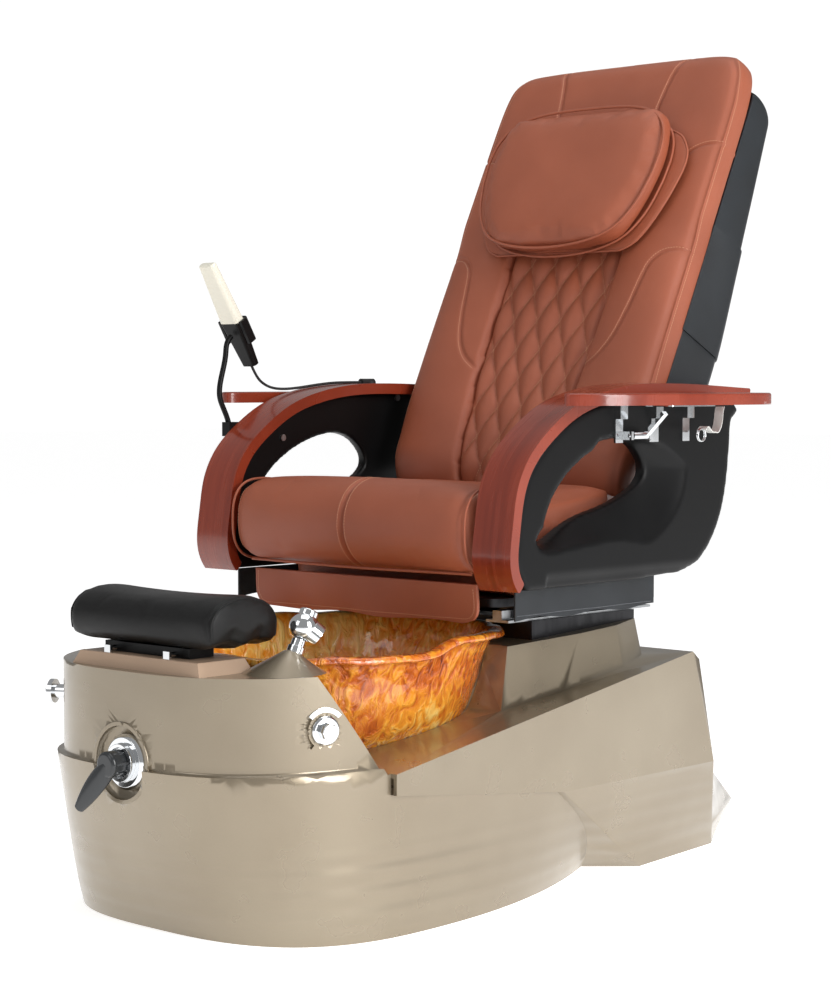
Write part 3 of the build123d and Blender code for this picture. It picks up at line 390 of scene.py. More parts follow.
def smooth_line(points, pitch, closed=False):
    """Points a pitch apart on a smooth curve through the given ones."""
    ring = [Vector(p) for p in points]
    count = len(ring)
    fine = []
    for i in range(count if closed else count - 1):
        if closed:
            p0, p1, p2, p3 = (ring[(i + k) % count] for k in (-1, 0, 1, 2))
        else:
            p0, p1, p2, p3 = (ring[min(max(i + k, 0), count - 1)] for k in (-1, 0, 1, 2))
        for step in range(12):
            t = step / 12
            square = (2 * p0 - 5 * p1 + 4 * p2 - p3) * t * t
            cube = (3 * p1 - p0 - 3 * p2 + p3) * t ** 3
            fine.append(0.5 * (2 * p1 + (p2 - p0) * t + square + cube))
    fine.append(ring[0] if closed else ring[-1])
    spaced = [fine[0]]
    left = pitch
    for a, b in zip(fine, fine[1:]):
        length = (b - a).length
        while length >= left:
            a = a + (b - a).normalized() * left
            spaced.append(a)
            length -= left
            left = pitch
        left -= length
    return spaced


def tube(name, points, radius, closed=False, sides=3):
    """A mesh tube that follows the points."""
    line = bpy.data.curves.new(name, "CURVE")
    line.dimensions = "3D"
    spline = line.splines.new("POLY")
    spline.points.add(len(points) - 1)
    for point, spot in zip(spline.points, points):
        point.co = (*spot, 1)
    spline.use_cyclic_u = closed
    line.bevel_depth = radius
    line.bevel_resolution = sides
    line.use_fill_caps = not closed
    piece = bpy.data.objects.new(name, line)
    bpy.context.scene.collection.objects.link(piece)
    alone(piece)
    bpy.ops.object.convert(target="MESH")
    return bpy.context.object


def weld(name, pieces):
    """Joins pieces into one, under the given name."""
    bpy.ops.object.select_all(action="DESELECT")
    for piece in pieces:
        piece.select_set(True)
    bpy.context.view_layer.objects.active = pieces[0]
    bpy.ops.object.join()
    pieces[0].name = name
    pieces[0].data.name = name
    return pieces[0]


def surface_of(piece):
    places = [v.co.copy() for v in piece.data.vertices]
    return BVHTree.FromPolygons(places, [tuple(p.vertices) for p in piece.data.polygons])


def lay_on(tree, points, away, reach=0.08):
    """Drops points on to a surface along -away, as (place, normal)."""
    landed = []
    for point in points:
        place, normal, _, _ = tree.ray_cast(point + away * reach, -away, reach * 2.5)
        if place is not None:
            landed.append((place, normal))
    return landed


def sew(name, rows, long=0.0032, thick=0.00055, skip=0.0048):
    """Real thread: one small six-sided stitch, copied along rows of (place, normal)."""
    verts, faces = [], []
    ring = [(math.cos(math.pi * k / 3), math.sin(math.pi * k / 3)) for k in range(6)]
    for row in rows:
        last = None
        for (a, normal), (b, _) in zip(row, row[1:]):
            along = b - a
            if along.length < 1e-6 or along.length > skip * 2.5:
                continue
            along.normalize()
            if last is not None and (a - last).length < skip * 0.9:
                continue
            last = a
            side = along.cross(normal).normalized()
            up = side.cross(along)
            first = len(verts)
            for at, wide in ((-0.5, 0.35), (-0.25, 1), (0.25, 1), (0.5, 0.35)):
                for c, s in ring:
                    swell = (side * c + up * s) * thick * wide
                    verts.append(a + along * at * long + swell + up * thick * 0.3)
            for k in range(3):
                for j in range(6):
                    n = (j + 1) % 6
                    low = first + k * 6
                    faces.append((low + j, low + n, low + 6 + n, low + 6 + j))
            faces.append(tuple(first + j for j in range(5, -1, -1)))
            faces.append(tuple(first + 18 + j for j in range(6)))
    mesh = bpy.data.meshes.new(name)
    mesh.from_pydata(verts, [], faces)
    mesh.update()
    piece = bpy.data.objects.new(name, mesh)
    bpy.context.scene.collection.objects.link(piece)
    return piece


def inflate(piece, swell, pressure=4.0):
    """Blows a closed form up as sewn leather over foam, and moves no point further than swell."""
    modify(piece, "REMESH", mode="VOXEL", voxel_size=0.006)
    before = [v.co.copy() for v in piece.data.vertices]
    alone(piece)
    cloth = piece.modifiers.new("Cloth", "CLOTH")
    cloth.settings.use_pressure = True
    cloth.settings.uniform_pressure_force = pressure
    cloth.settings.effector_weights.gravity = 0
    cloth.settings.quality = 5
    for step in range(1, 21):
        bpy.context.scene.frame_set(step)
    bpy.ops.object.modifier_apply(modifier=cloth.name)
    bpy.context.scene.frame_set(1)
    for vertex, old in zip(piece.data.vertices, before):
        shift = vertex.co - old
        if shift.length > swell:
            vertex.co = old + shift.normalized() * swell


# ---------------------------------------------------------------- backrest
BACK_ORIGIN = Vector((0, 0.227, 0.850))
BACK_UP = Vector((0, 0.4472, 0.8944))
BACK_FRONT = Vector((0, -0.8944, 0.4472))
ACROSS = Vector((1, 0, 0))
PAD_HALF = [
    (-0.190, 0.262), (-0.1, 0.276), (0.0, 0.282), (0.3, 0.284), (0.56, 0.284), (0.62, 0.282),
    (0.66, 0.276), (0.684, 0.264), (0.7, 0.246), (0.709, 0.224), (0.712, 0.2),
]
PANEL_HALF = [(-0.178, 0.104), (-0.06, 0.118), (0.05, 0.128), (0.29, 0.133), (0.5, 0.137)]
PANEL_TOP = 0.29
PAD_LOW, PAD_TOP = -0.190, 0.712
QUILT_WIDE, QUILT_TALL = 0.056, 0.12


def on_back(across, up, front):
    return BACK_ORIGIN + ACROSS * across + BACK_UP * up + BACK_FRONT * front


def quilt_waves(across, up):
    """How far a point is from each of the two families of quilting lines, in half waves."""
    column, row = across / QUILT_WIDE, (up - 0.03) / QUILT_TALL
    return column + row - 0.5, column - row - 0.5


def pad_front(across, up):
    """Height of the pad's face over its backing plane at a point of it, in metres."""
    half = between(PAD_HALF, up)
    share = min(abs(across) / half, 1)
    panel = between(PANEL_HALF, up)
    reach = max(0, (abs(across) - panel) / (half - panel))
    bolster = -0.006 + 0.014 * math.sin(math.pi * min(reach * 1.04, 1)) ** 0.6
    bolster -= 0.010 * share ** 22
    if up > PANEL_TOP:
        ease = min((up - PANEL_TOP) / 0.08, 1)
        crown = 0.004 * (1 - share ** 4) - 0.010 * share ** 22
        bolster += (crown - bolster) * ease * ease * (3 - 2 * ease)
    front = bolster
    if abs(across) < panel and up < PANEL_TOP + 0.02:
        first, second = quilt_waves(across, up)
        puff = (abs(math.sin(math.pi * first)) * abs(math.sin(math.pi * second))) ** 0.55
        edge = min((panel - abs(across)) / 0.012, 1)
        front = -0.019 + 0.0105 * puff * edge ** 0.6
    front -= 0.03 * max(0, (up - 0.66) / 0.052) ** 3
    front -= 0.02 * max(0, (-0.12 - up) / 0.058) ** 2
    return front


def mirrored(lines):
    return lines + [[(-x, u) for x, u in line] for line in lines]


BOLSTER_CURVE = [
    (0.281, 0.283), (0.262, 0.282), (0.236, 0.274), (0.216, 0.252), (0.207, 0.214),
    (0.198, 0.160), (0.183, 0.105), (0.160, 0.068), (0.130, 0.046),
]
SHOULDER_CURVE = [(0.283, 0.506), (0.262, 0.503), (0.239, 0.496), (0.219, 0.480), (0.208, 0.452)]
YOKE = [(0.150, 0.712), (0.132, 0.665), (0.122, 0.610), (0.118, 0.560)]
PANEL_SIDE = [(between(PANEL_HALF, u / 100), u / 100) for u in range(-17, 30, 3)]
SIDE_SEAM = [
    (0.277, -0.16), (0.278, 0.0), (0.279, 0.3), (0.279, 0.55), (0.276, 0.62), (0.268, 0.66),
    (0.250, 0.688), (0.222, 0.700), (0.15, 0.703), (0.0, 0.703),
]
deep_seams = mirrored([PANEL_SIDE, BOLSTER_CURVE, SHOULDER_CURVE, YOKE, SIDE_SEAM])


def flat_line(line, pitch=0.003):
    return smooth_line([(x, u, 0) for x, u in line], pitch)


class Seams:
    """Nearest distance to a set of seam lines drawn on a flat pattern."""

    def __init__(self, lines):
        points = [p for line in lines for p in flat_line(line)]
        self.tree = KDTree(len(points))
        for index, point in enumerate(points):
            self.tree.insert(point, index)
        self.tree.balance()

    def groove(self, x, u, deep, wide):
        distance = self.tree.find((x, u, 0))[2]
        return deep * math.exp(-((distance / wide) ** 2))


back_seams = Seams(deep_seams)
pad = start("grid", "quilted_back", x_subdivisions=180, y_subdivisions=290, size=1)


def pad_place(flat):
    up = PAD_LOW + (flat.y + 0.5) * (PAD_TOP - PAD_LOW)
    across = 2 * flat.x * between(PAD_HALF, up)
    front = pad_front(across, up) - back_seams.groove(across, up, 0.004, 0.0035)
    return on_back(across, up, front)


sculpt(pad, pad_place)
choose(pad, lambda v: False, "VERT")
edit(
    pad,
    (bpy.ops.mesh.select_mode, {"type": "EDGE"}),
    (bpy.ops.mesh.select_all, {"action": "DESELECT"}),
    (bpy.ops.mesh.select_non_manifold, {}),
)
for depth, grow in ((0.006, 1.006), (0.010, 1.006), (0.012, 1.0), (0.012, 0.994), (0.006, 0.985)):
    drop = {"value": tuple(-BACK_FRONT * depth)}
    edit(pad, (bpy.ops.mesh.extrude_region_move, {"TRANSFORM_OT_translate": drop}))
    rim = [v for v in pad.data.vertices if v.select]
    for vertex in rim:
        vertex.co.x *= grow
edit(pad, (bpy.ops.mesh.edge_face_add, {}))
face_out(pad)
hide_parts("back_pad")
done(pad, brown, "back", 60)

pad_surface = surface_of(pad)


def rows_on_back(lines, shift=0.0, pitch=0.0024, tree=None):
    """Stitch rows on the pad, each a shift to the side of its seam line."""
    rows = []
    for line in lines:
        fine = flat_line(line, pitch)
        moved = []
        for a, b in zip(fine, fine[1:]):
            side = (b - a).cross(Vector((0, 0, 1))).normalized()
            spot = a + side * shift
            moved.append(on_back(spot.x, spot.y, 0))
        rows.append(lay_on(tree or pad_surface, moved, BACK_FRONT))
    return rows


def quilt_lines():
    lines = []
    for lean in (1, -1):
        for k in range(-9, 10):
            line = []
            for step in range(0, 95):
                up = PANEL_HALF[0][0] + step * 0.005
                across = QUILT_WIDE * (k + 0.5 - lean * (up - 0.03) / QUILT_TALL)
                if abs(across) < between(PANEL_HALF, up) - 0.005 and up < PANEL_TOP:
                    line.append((across, up))
            if len(line) > 2:
                lines.append(line)
    return lines


quilt_thread = sew("quilt_thread", rows_on_back(quilt_lines()))
done(quilt_thread, thread, "back")
seam_rows = rows_on_back(mirrored([BOLSTER_CURVE, SHOULDER_CURVE, YOKE]), 0.0045)
seam_thread = sew("seam_thread", seam_rows + rows_on_back(mirrored([SIDE_SEAM]), 0.0065))
done(seam_thread, thread, "back")

# flap that the head pillow hangs on
FLAP = [
    (0.118, 0.275), (0.150, 0.277), (0.180, 0.296), (0.205, 0.340), (0.226, 0.400),
    (0.236, 0.455), (0.226, 0.490), (0.195, 0.520), (0.12, 0.535),
]
FLAP_LOW, FLAP_TALL = 0.275, 0.26
FLAP_EDGE = FLAP + [(-x, u) for x, u in reversed(FLAP)]


flap = start("grid", "pillow_flap", x_subdivisions=60, y_subdivisions=50, size=1)
FLAP_HALF = [
    (0.275, 0.125), (0.279, 0.152), (0.296, 0.180), (0.340, 0.205), (0.400, 0.226),
    (0.455, 0.236), (0.490, 0.226), (0.520, 0.195), (0.535, 0.12),
]


def flap_place(flat):
    up = FLAP_LOW + (flat.y + 0.5) * FLAP_TALL
    across = 2 * flat.x * between(FLAP_HALF, up)
    droop = 0.004 * math.cos(across * 30) * (1 - (flat.y + 0.5))
    return on_back(across, up, 0.0165 + droop + 0.004 * (1 - (2 * flat.x) ** 4))


sculpt(flap, flap_place)
modify(flap, "SOLIDIFY", thickness=0.006, offset=-1)
ease(flap, 0.002, 2, 1.0)
done(flap, brown, "pillow", 60)
flap_ring = [on_back(x, u, 0.016) for x, u, _ in smooth_line([(x, u, 0) for x, u in FLAP_EDGE], 0.006, True)]
flap_piping = tube("flap_piping", flap_ring, 0.0022, True)
done(flap_piping, brown, "pillow", 80)

# head pillow
PILLOW_HALF = [
    (0.264, 0.06), (0.268, 0.10), (0.276, 0.132), (0.292, 0.158), (0.325, 0.178), (0.372, 0.195),
    (0.43, 0.206), (0.475, 0.206), (0.512, 0.200), (0.54, 0.190), (0.553, 0.178), (0.560, 0.160),
    (0.563, 0.12),
]
PILLOW_MIDDLE, PILLOW_REACH = 0.4135, 0.1495
pillow = start("cube", "head_cushion", size=2)
divide(pillow, 30)


def pillow_place(block):
    """Bends a divided cube (x across, y up, z front) into the boxed pillow."""
    a, b, c = block
    up = PILLOW_MIDDLE + b * 0.1455
    half = between(PILLOW_HALF, PILLOW_MIDDLE + b * PILLOW_REACH)
    across = a * half * (1 - 0.06 * max(0, abs(c) - 0.5))
    dome = (1 - a ** 4) * (1 - b ** 4)
    front = 0.040 + c * 0.020 + (0.010 if c > 0 else -0.002) * dome * abs(c)
    return on_back(across, up, front)


sculpt(pillow, pillow_place)
inflate(pillow, 0.007)
modify(pillow, "SMOOTH", factor=0.5, iterations=3)
modify(pillow, "SUBSURF", levels=1, render_levels=1)
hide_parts("head_pillow")
done(pillow, brown, "pillow", 70)


def pillow_ring(front):
    """The pillow's outline at a height over the backing."""
    ring = []
    for index in range(120):
        angle = 2 * math.pi * index / 120
        c, s = math.cos(angle), math.sin(angle)
        up = PILLOW_MIDDLE + PILLOW_REACH * (1 if s > 0 else -1) * abs(s) ** 0.45
        across = (1 if c > 0 else -1) * abs(c) ** 0.45
        ring.append(on_back(across * between(PILLOW_HALF, up), up, front))
    return ring


pillow_piping = tube("pillow_piping", pillow_ring(0.058), 0.0028, True)
done(pillow_piping, brown, "pillow", 80)
rear_piping = tube("pillow_rear_piping", pillow_ring(0.024), 0.0024, True)
done(rear_piping, brown, "pillow", 80)

# ---------------------------------------------------------------- seat
def block(name, cuts):
    """A divided cube, two units wide, to be sculpted into a closed cushion."""
    piece = start("cube", name, size=2)
    divide(piece, cuts)
    return piece


def round_section(b, c, power):
    """Turns a point of a square section into one of a rounded section of the given squareness."""
    size = max(abs(b), abs(c))
    if size < 1e-6:
        return 0, 0
    length = math.hypot(b, c)
    cosine, sine = b / length, c / length
    reach = (abs(cosine) ** power + abs(sine) ** power) ** (-1 / power)
    return size * reach * cosine, size * reach * sine


def press(piece, depth_at):
    """Pushes each point in along its normal by depth_at(place)."""
    moved = [v.co - v.normal * depth_at(v.co) for v in piece.data.vertices]
    for vertex, place in zip(piece.data.vertices, moved):
        vertex.co = place
    piece.data.update()


def crease(distance, deep, wide):
    return deep * math.exp(-((distance / wide) ** 2))


def upholster(piece, finish, body, slot, fill, *nodes):
    if nodes:
        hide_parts(*nodes)
    return done(piece, finish, body, 70)


ROLL_Y, ROLL_Z = -0.168, 0.618
ROLL_HALF, ROLL_DEEP, ROLL_TALL = 0.277, 0.0745, 0.074
ROLL_SQUARE = 2.7
roll = block("front_roll", 34)


def roll_place(p):
    b, c = round_section(p.y, p.z, ROLL_SQUARE)
    end = max(0, (abs(p.x) - 0.84) / 0.16)
    thin = 1 - 0.20 * end ** 2.2
    across = p.x * ROLL_HALF + (0.004 * (1 - b * b - c * c) if abs(p.x) > 0.99 and p.x > 0 else 0)
    high = (ROLL_TALL * c + 0.003 * math.cos(across * 5.5)) * thin
    return Vector((across, ROLL_Y + ROLL_DEEP * b * thin, ROLL_Z + high))


sculpt(roll, roll_place)
inflate(roll, 0.007)
modify(roll, "SMOOTH", factor=0.5, iterations=4)
modify(roll, "SUBSURF", levels=1, render_levels=1)
press(roll, lambda v: crease(v.x, 0.005, 0.004) + crease(abs(v.x) - 0.262, 0.0025, 0.003))
sculpt(roll, lambda v: Vector((v.x, min(v.y, -0.0925), v.z)))
upholster(roll, brown, "seat", "brown_leather", 0.8, "seat_roll")
roll_surface = surface_of(roll)


def rows_round_roll(across):
    row = []
    for step in range(260):
        angle = math.radians(80 + step * 0.75)
        ray = Vector((0, math.cos(angle), math.sin(angle)))
        place, normal, _, _ = roll_surface.ray_cast(Vector((across, ROLL_Y, ROLL_Z)) + ray * 0.15, -ray, 0.2)
        if place is not None:
            row.append((place, normal))
    return row


roll_thread = sew("roll_thread", [rows_round_roll(x) for x in (-0.0085, 0.0085, -0.268, 0.268)])
done(roll_thread, thread, "seat")


def section_ring(across, grow, power=ROLL_SQUARE):
    ring = []
    for index in range(96):
        angle = 2 * math.pi * index / 96
        b, c = math.cos(angle), math.sin(angle)
        reach = (abs(b) ** power + abs(c) ** power) ** (-1 / power)
        ring.append(Vector((across, min(ROLL_Y + grow * b * reach, -0.094), ROLL_Z + grow * c * reach)))
    return ring


roll_ends = []
for side in (-1, 1):
    end_ring = section_ring(side * 0.2745, 0.0715)
    roll_ends.append(tube(f"end_piping_{side}", end_ring, 0.0022, True))
hem_line = []
for x in range(-26, 27):
    bow, lift = 0.006 * math.cos(x * 0.06), 0.001 * math.cos(x * 0.11)
    hem_line.append(Vector((x / 100, -0.205 - bow, 0.5465 - lift)))
roll_ends.append(tube("hem_piping", hem_line, 0.0026))
done(weld("roll_piping", roll_ends), brown, "seat", 80)

cushion = block("seat_pad", 26)


def cushion_place(p):
    rear = (p.y + 1) / 2
    edge = max(abs(p.x), abs(p.y))
    top = 0.650 + 0.026 * rear + 0.010 * (1 - p.x ** 4) * (1 - (2 * rear - 1) ** 6)
    low_side = 0.502
    narrow = 1 - 0.02 * max(0, p.z) * (1 if abs(p.x) > 0.9 else 0)
    tuck = 0.004 * (edge > 0.97) * (p.z > 0.9)
    height = low_side + (top - low_side) * (p.z + 1) / 2 - tuck
    return Vector((p.x * 0.274 * narrow, 0.036 + p.y * 0.124, height))


sculpt(cushion, cushion_place)
inflate(cushion, 0.005)
modify(cushion, "SMOOTH", factor=0.5, iterations=3)
modify(cushion, "SUBSURF", levels=1, render_levels=1)
press(cushion, lambda v: (crease(abs(v.x) - 0.13, 0.004, 0.004) if v.z > 0.6 else 0))
sculpt(cushion, lambda v: Vector((v.x, max(v.y, -0.0915), max(v.z, 0.5004))))
upholster(cushion, brown, "seat", "brown_leather", 0.7, "seat_cushion")

apron = start("grid", "front_apron", x_subdivisions=110, y_subdivisions=22, size=1)
APRON_LOW, APRON_TALL = 0.464, 0.066
APRON_HALF = [(0.464, 0.222), (0.4665, 0.240), (0.474, 0.253), (0.488, 0.2605), (0.53, 0.262)]


def apron_face(across, height):
    wave = 0.004 * math.sin(across * 21 + 0.7) + 0.002 * math.sin(across * 47)
    rise = (height - APRON_LOW) / APRON_TALL
    return -0.187 - wave * (1 - rise) - 0.006 * rise


def apron_place(flat):
    height = APRON_LOW + (flat.y + 0.5) * APRON_TALL - 0.002 * math.sin(flat.x * 14) * (0.5 - flat.y)
    across = 2 * flat.x * between(APRON_HALF, height)
    return Vector((across, apron_face(across, height), height))


sculpt(apron, apron_place)
modify(apron, "SOLIDIFY", thickness=0.006, offset=0)
ease(apron, 0.0018, 2, 1.0)
upholster(apron, brown, "seat", "brown_leather", 0.2, "seat_apron")
apron_surface = surface_of(apron)
apron_rows = []
hem = [
    (-0.254, 0.524), (-0.254, 0.492), (-0.247, 0.478), (-0.234, 0.4715), (-0.2, 0.4705),
    (0, 0.4705), (0.2, 0.4705), (0.234, 0.4715), (0.247, 0.478), (0.254, 0.492), (0.254, 0.524),
]
hem_points = [Vector((x, -0.19, z)) for x, z, _ in smooth_line([(x, z, 0) for x, z in hem], 0.0024)]
apron_rows.append(lay_on(apron_surface, hem_points, Vector((0, -1, 0))))
done(sew("apron_thread", apron_rows), thread, "seat")

skirts = []
for side in (-1, 1):
    skirt = start("grid", f"skirt_{side}", x_subdivisions=70, y_subdivisions=10, size=1)

    def skirt_place(flat, side=side):
        along = 0.012 + flat.x * 0.376
        drop = 0.003 * math.sin(along * 40) * (0.5 - flat.y)
        height = 0.499 + flat.y * 0.050 + drop
        return Vector((side * (0.327 + 0.0022 * math.sin(along * 33)), along, height))

    sculpt(skirt, skirt_place)
    modify(skirt, "SOLIDIFY", thickness=0.003, offset=0)
    skirts.append(skirt)
skirt_pair = weld("side_skirts", skirts)
face_out(skirt_pair)
upholster(skirt_pair, black_hide, "seat", "black_leather", 0.1, "skirts")
skirt_rows = []
for side in (-1, 1):
    line = [Vector((side * 0.33, -0.170 + k * 0.0024, 0.4805)) for k in range(152)]
    skirt_rows.append(lay_on(surface_of(skirt_pair), line, Vector((side, 0, 0)), 0.02))
done(sew("skirt_thread", skirt_rows), grey_thread, "seat")

# ---------------------------------------------------------------- footrest cushion
FOOT_Y, FOOT_Z = -0.6275, 0.4815
foot_pad = block("foot_pad", 26)


def foot_place(p):
    b, c = round_section(p.y, max(p.z, -0.55), 2.3)
    end = max(0, (abs(p.x) - 0.9) / 0.1)
    saddle = 1 - 0.10 * (1 - p.x * p.x)
    thin = 1 - 0.06 * end ** 2
    height = FOOT_Z + 0.050 * c * saddle * thin if c > 0 else FOOT_Z + 0.0265 * c / 0.55
    return Vector((p.x * 0.169, FOOT_Y + 0.0765 * b * thin, max(height, 0.4535)))


sculpt(foot_pad, foot_place)
inflate(foot_pad, 0.005, 3.0)
modify(foot_pad, "SMOOTH", factor=0.5, iterations=3)
modify(foot_pad, "SUBSURF", levels=1, render_levels=1)
press(foot_pad, lambda v: crease(abs(v.x) - 0.163, 0.0016, 0.002))
sculpt(foot_pad, lambda v: Vector((v.x, v.y, max(v.z, 0.4525))))
upholster(foot_pad, foot_hide, "footrest", "black_leather", 0.85, "footrest_cushion")
foot_surface = surface_of(foot_pad)
end_rings = []
for side in (-1, 1):
    row = []
    for step in range(70):
        angle = math.radians(-8 + step * 196 / 69)
        ray = Vector((0, math.cos(angle), math.sin(angle)))
        centre = Vector((side * 0.1655, FOOT_Y, 0.478))
        place, _, _, _ = foot_surface.ray_cast(centre + ray * 0.15, -ray, 0.2)
        if place is not None:
            row.append(place)
    end_rings.append(tube(f"foot_ring_{side}", row, 0.0016))
done(weld("foot_pad_piping", end_rings), foot_hide, "footrest", 80)

# ---------------------------------------------------------------- foot bowl
BOWL_Y = -0.290
BOWL = [
    (0.2525, 0.0, 0.0), (0.2525, 0.080, 0.090), (0.2530, 0.142, 0.158), (0.2600, 0.166, 0.182),
    (0.2750, 0.184, 0.201),
    (0.3020, 0.208, 0.226), (0.3450, 0.225, 0.243), (0.3900, 0.237, 0.256),
    (0.4240, 0.247, 0.267), (0.4370, 0.253, 0.273),
    (0.4410, 0.262, 0.282), (0.4400, 0.273, 0.293), (0.4350, 0.2775, 0.2975),
    (0.4300, 0.2760, 0.2960), (0.4270, 0.266, 0.286),
    (0.4240, 0.257, 0.277), (0.3900, 0.243, 0.262), (0.3450, 0.231, 0.249),
    (0.3000, 0.213, 0.231), (0.2680, 0.186, 0.203),
    (0.2460, 0.150, 0.166), (0.2455, 0.080, 0.090), (0.2455, 0.0, 0.0),
]
bowl = start("grid", "amber_bowl", x_subdivisions=220, y_subdivisions=150, size=1)
bowl_z = [(k, level[0]) for k, level in enumerate(BOWL)]
bowl_a = [(k, level[1]) for k, level in enumerate(BOWL)]
bowl_b = [(k, level[2]) for k, level in enumerate(BOWL)]


def bowl_place(flat):
    angle = 2 * math.pi * (flat.x + 0.5)
    level = (flat.y + 0.5) * (len(BOWL) - 1)
    c, s = math.cos(angle), math.sin(angle)
    if abs(flat.x) > 0.4999:
        c, s = 1.0, 0.0
    a, b, z = between(bowl_a, level), between(bowl_b, level), between(bowl_z, level)
    x = a * (1 if c > 0 else -1) * abs(c) ** 0.8
    y = b * (1 if s > 0 else -1) * abs(s) ** 0.8
    lip = max(0, min((z - 0.36) / 0.06, 1))
    step = 1 / (1 + math.exp(-(y - 0.01) / 0.012))
    z += lip * (-0.010 + 0.016 * step + 0.0016 * math.sin(7 * angle) + 0.001 * math.sin(17 * angle))
    if level > 1.2 and level < 20.8:
        dent = noise.noise(Vector((x * 75, y * 75, z * 42)) + Vector((3, 7, 1)))
        dent += 0.5 * noise.noise(Vector((x * 150, y * 150, z * 90)))
        grow = 1 + 0.0075 * dent
        x *= grow
        y *= grow
    return Vector((x, BOWL_Y + y, z))


sculpt(bowl, bowl_place)
face_out(bowl, 0.00005)
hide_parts("basin", "basin_gasket")
done(bowl, glass, "base", 60)

# ---------------------------------------------------------------- mouldings, wood and sheet covers
def softened(node, name, width, finish, body, sharp=24, segments=2):
    """A CAD part's mesh, welded and smooth shaded, with its edges eased by width."""
    piece = bpy.data.objects.new(name, frame["nodes"][node].data.copy())
    piece.data.name = name
    bpy.context.scene.collection.objects.link(piece)
    edit(
        piece,
        (bpy.ops.mesh.select_all, {"action": "SELECT"}),
        (bpy.ops.mesh.remove_doubles, {"threshold": 0.00002}),
    )
    if width:
        edit(piece, (bpy.ops.mesh.dissolve_limited, {"angle_limit": math.radians(0.6)}))
        ease(piece, width, segments, math.radians(sharp))
    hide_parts(node)
    done(piece, finish, body, sharp)
    modify(piece, "WEIGHTED_NORMAL", mode="FACE_AREA", weight=100, keep_sharp=True)
    return piece


softened("base_shell", "moulded_base", 0, paint, "base", 18)
# The footrest plinth gets the tan painted reflection, not the base paint.
softened("footrest_plinth", "footrest_step", 0.002, plinth_amber_reflection, "base")
softened("sprayer_fairing", "sprayer_cone", 0.0, paint, "base")
for side in ("left", "right"):
    softened(f"arm_{side}", f"wood_arm_{side}", 0.0, wood, "seat")
    softened(f"tray_{side}", f"wood_tray_{side}", 0.0, wood, f"{side}_tray")
softened("mixer_handle", "mixer_lever_grip", 0.0, gloss, "mixer_lever")
softened("mixer_escutcheon", "mixer_rose", 0.0008, chrome, "base")
bezel = softened("drain_bezel", "knob_bezel", 0.0005, chrome, "base")
KNOB, KNOB_OUT = Vector((0.281, -0.567, 0.332)), Vector((0.938, -0.347, 0))
quarter = Matrix.Rotation(-math.pi / 2, 3, KNOB_OUT)


def label_over_knob(v):
    across = (v - KNOB) - KNOB_OUT * (v - KNOB).dot(KNOB_OUT)
    return KNOB + quarter @ (v - KNOB) if across.length > 0.026 else v


sculpt(bezel, label_over_knob)
softened("drain_knob", "faceted_knob", 0.0012, chrome, "waste_knob")
softened("sprayer_head", "spray_ball", 0.0004, chrome, "spray_head")
softened("sprayer_neck", "spray_neck", 0.0004, chrome, "sprayer")
softened("remote_case", "handset_face", 0.0015, cream, "seat")
softened("remote_grip", "handset_grip", 0.0015, plastic, "seat")

LOOP_EDGE = [
    (-0.150, 0.608), (-0.128, 0.668), (-0.060, 0.728), (0.034, 0.763), (0.118, 0.754),
    (0.152, 0.711), (0.100, 0.671), (0.021, 0.648), (-0.070, 0.622),
]
loop_points = smooth_line([(y, z, 0) for y, z in LOOP_EDGE], 0.004, True)
loop_tree = KDTree(len(loop_points))
for index, point in enumerate(loop_points):
    loop_tree.insert(point, index)
loop_tree.balance()
SCOOP_WIDE = [
    (-0.17, 0.016), (-0.10, 0.026), (0.0, 0.044), (0.08, 0.066), (0.13, 0.088), (0.16, 0.092),
    (0.24, 0.09),
]
SCOOP_DEEP = 0.024
SCOOP_TOP = 0.775


def scoop(y, z):
    """Depth of the crescent hollow behind and below the arm's opening."""
    distance = loop_tree.find((y, z, 0))[2]
    below = z < 0.60 + 0.95 * (y + 0.15) + 0.02
    if not below or z > SCOOP_TOP:
        return 0
    wide = between(SCOOP_WIDE, y) * min(max((SCOOP_TOP - z) / 0.06, 0), 1)
    if distance >= wide:
        return 0
    return SCOOP_DEEP * min((wide - distance) / max(wide, 0.001), 1) ** 0.8


for side, sign in (("left", 1), ("right", -1)):
    panel = softened(f"panel_{side}", f"side_panel_{side}", 0, plastic, "seat")
    modify(panel, "REMESH", mode="VOXEL", voxel_size=0.0045)
    modify(panel, "SMOOTH", factor=0.5, iterations=3)

    def hollow(v, sign=sign):
        depth = scoop(v.y, v.z)
        bevel = 0.012 * max(0, min((0.548 - v.z) / 0.012, 1)) if v.y > -0.14 else 0
        outside = max(0, min((abs(v.x) - 0.335) / 0.02, 1))
        return Vector((v.x - sign * (depth + bevel * 0.5) * outside, v.y, v.z))

    sculpt(panel, hollow)
    modify(panel, "SMOOTH", factor=0.4, iterations=2)
    done(panel, plastic, "seat", 50)

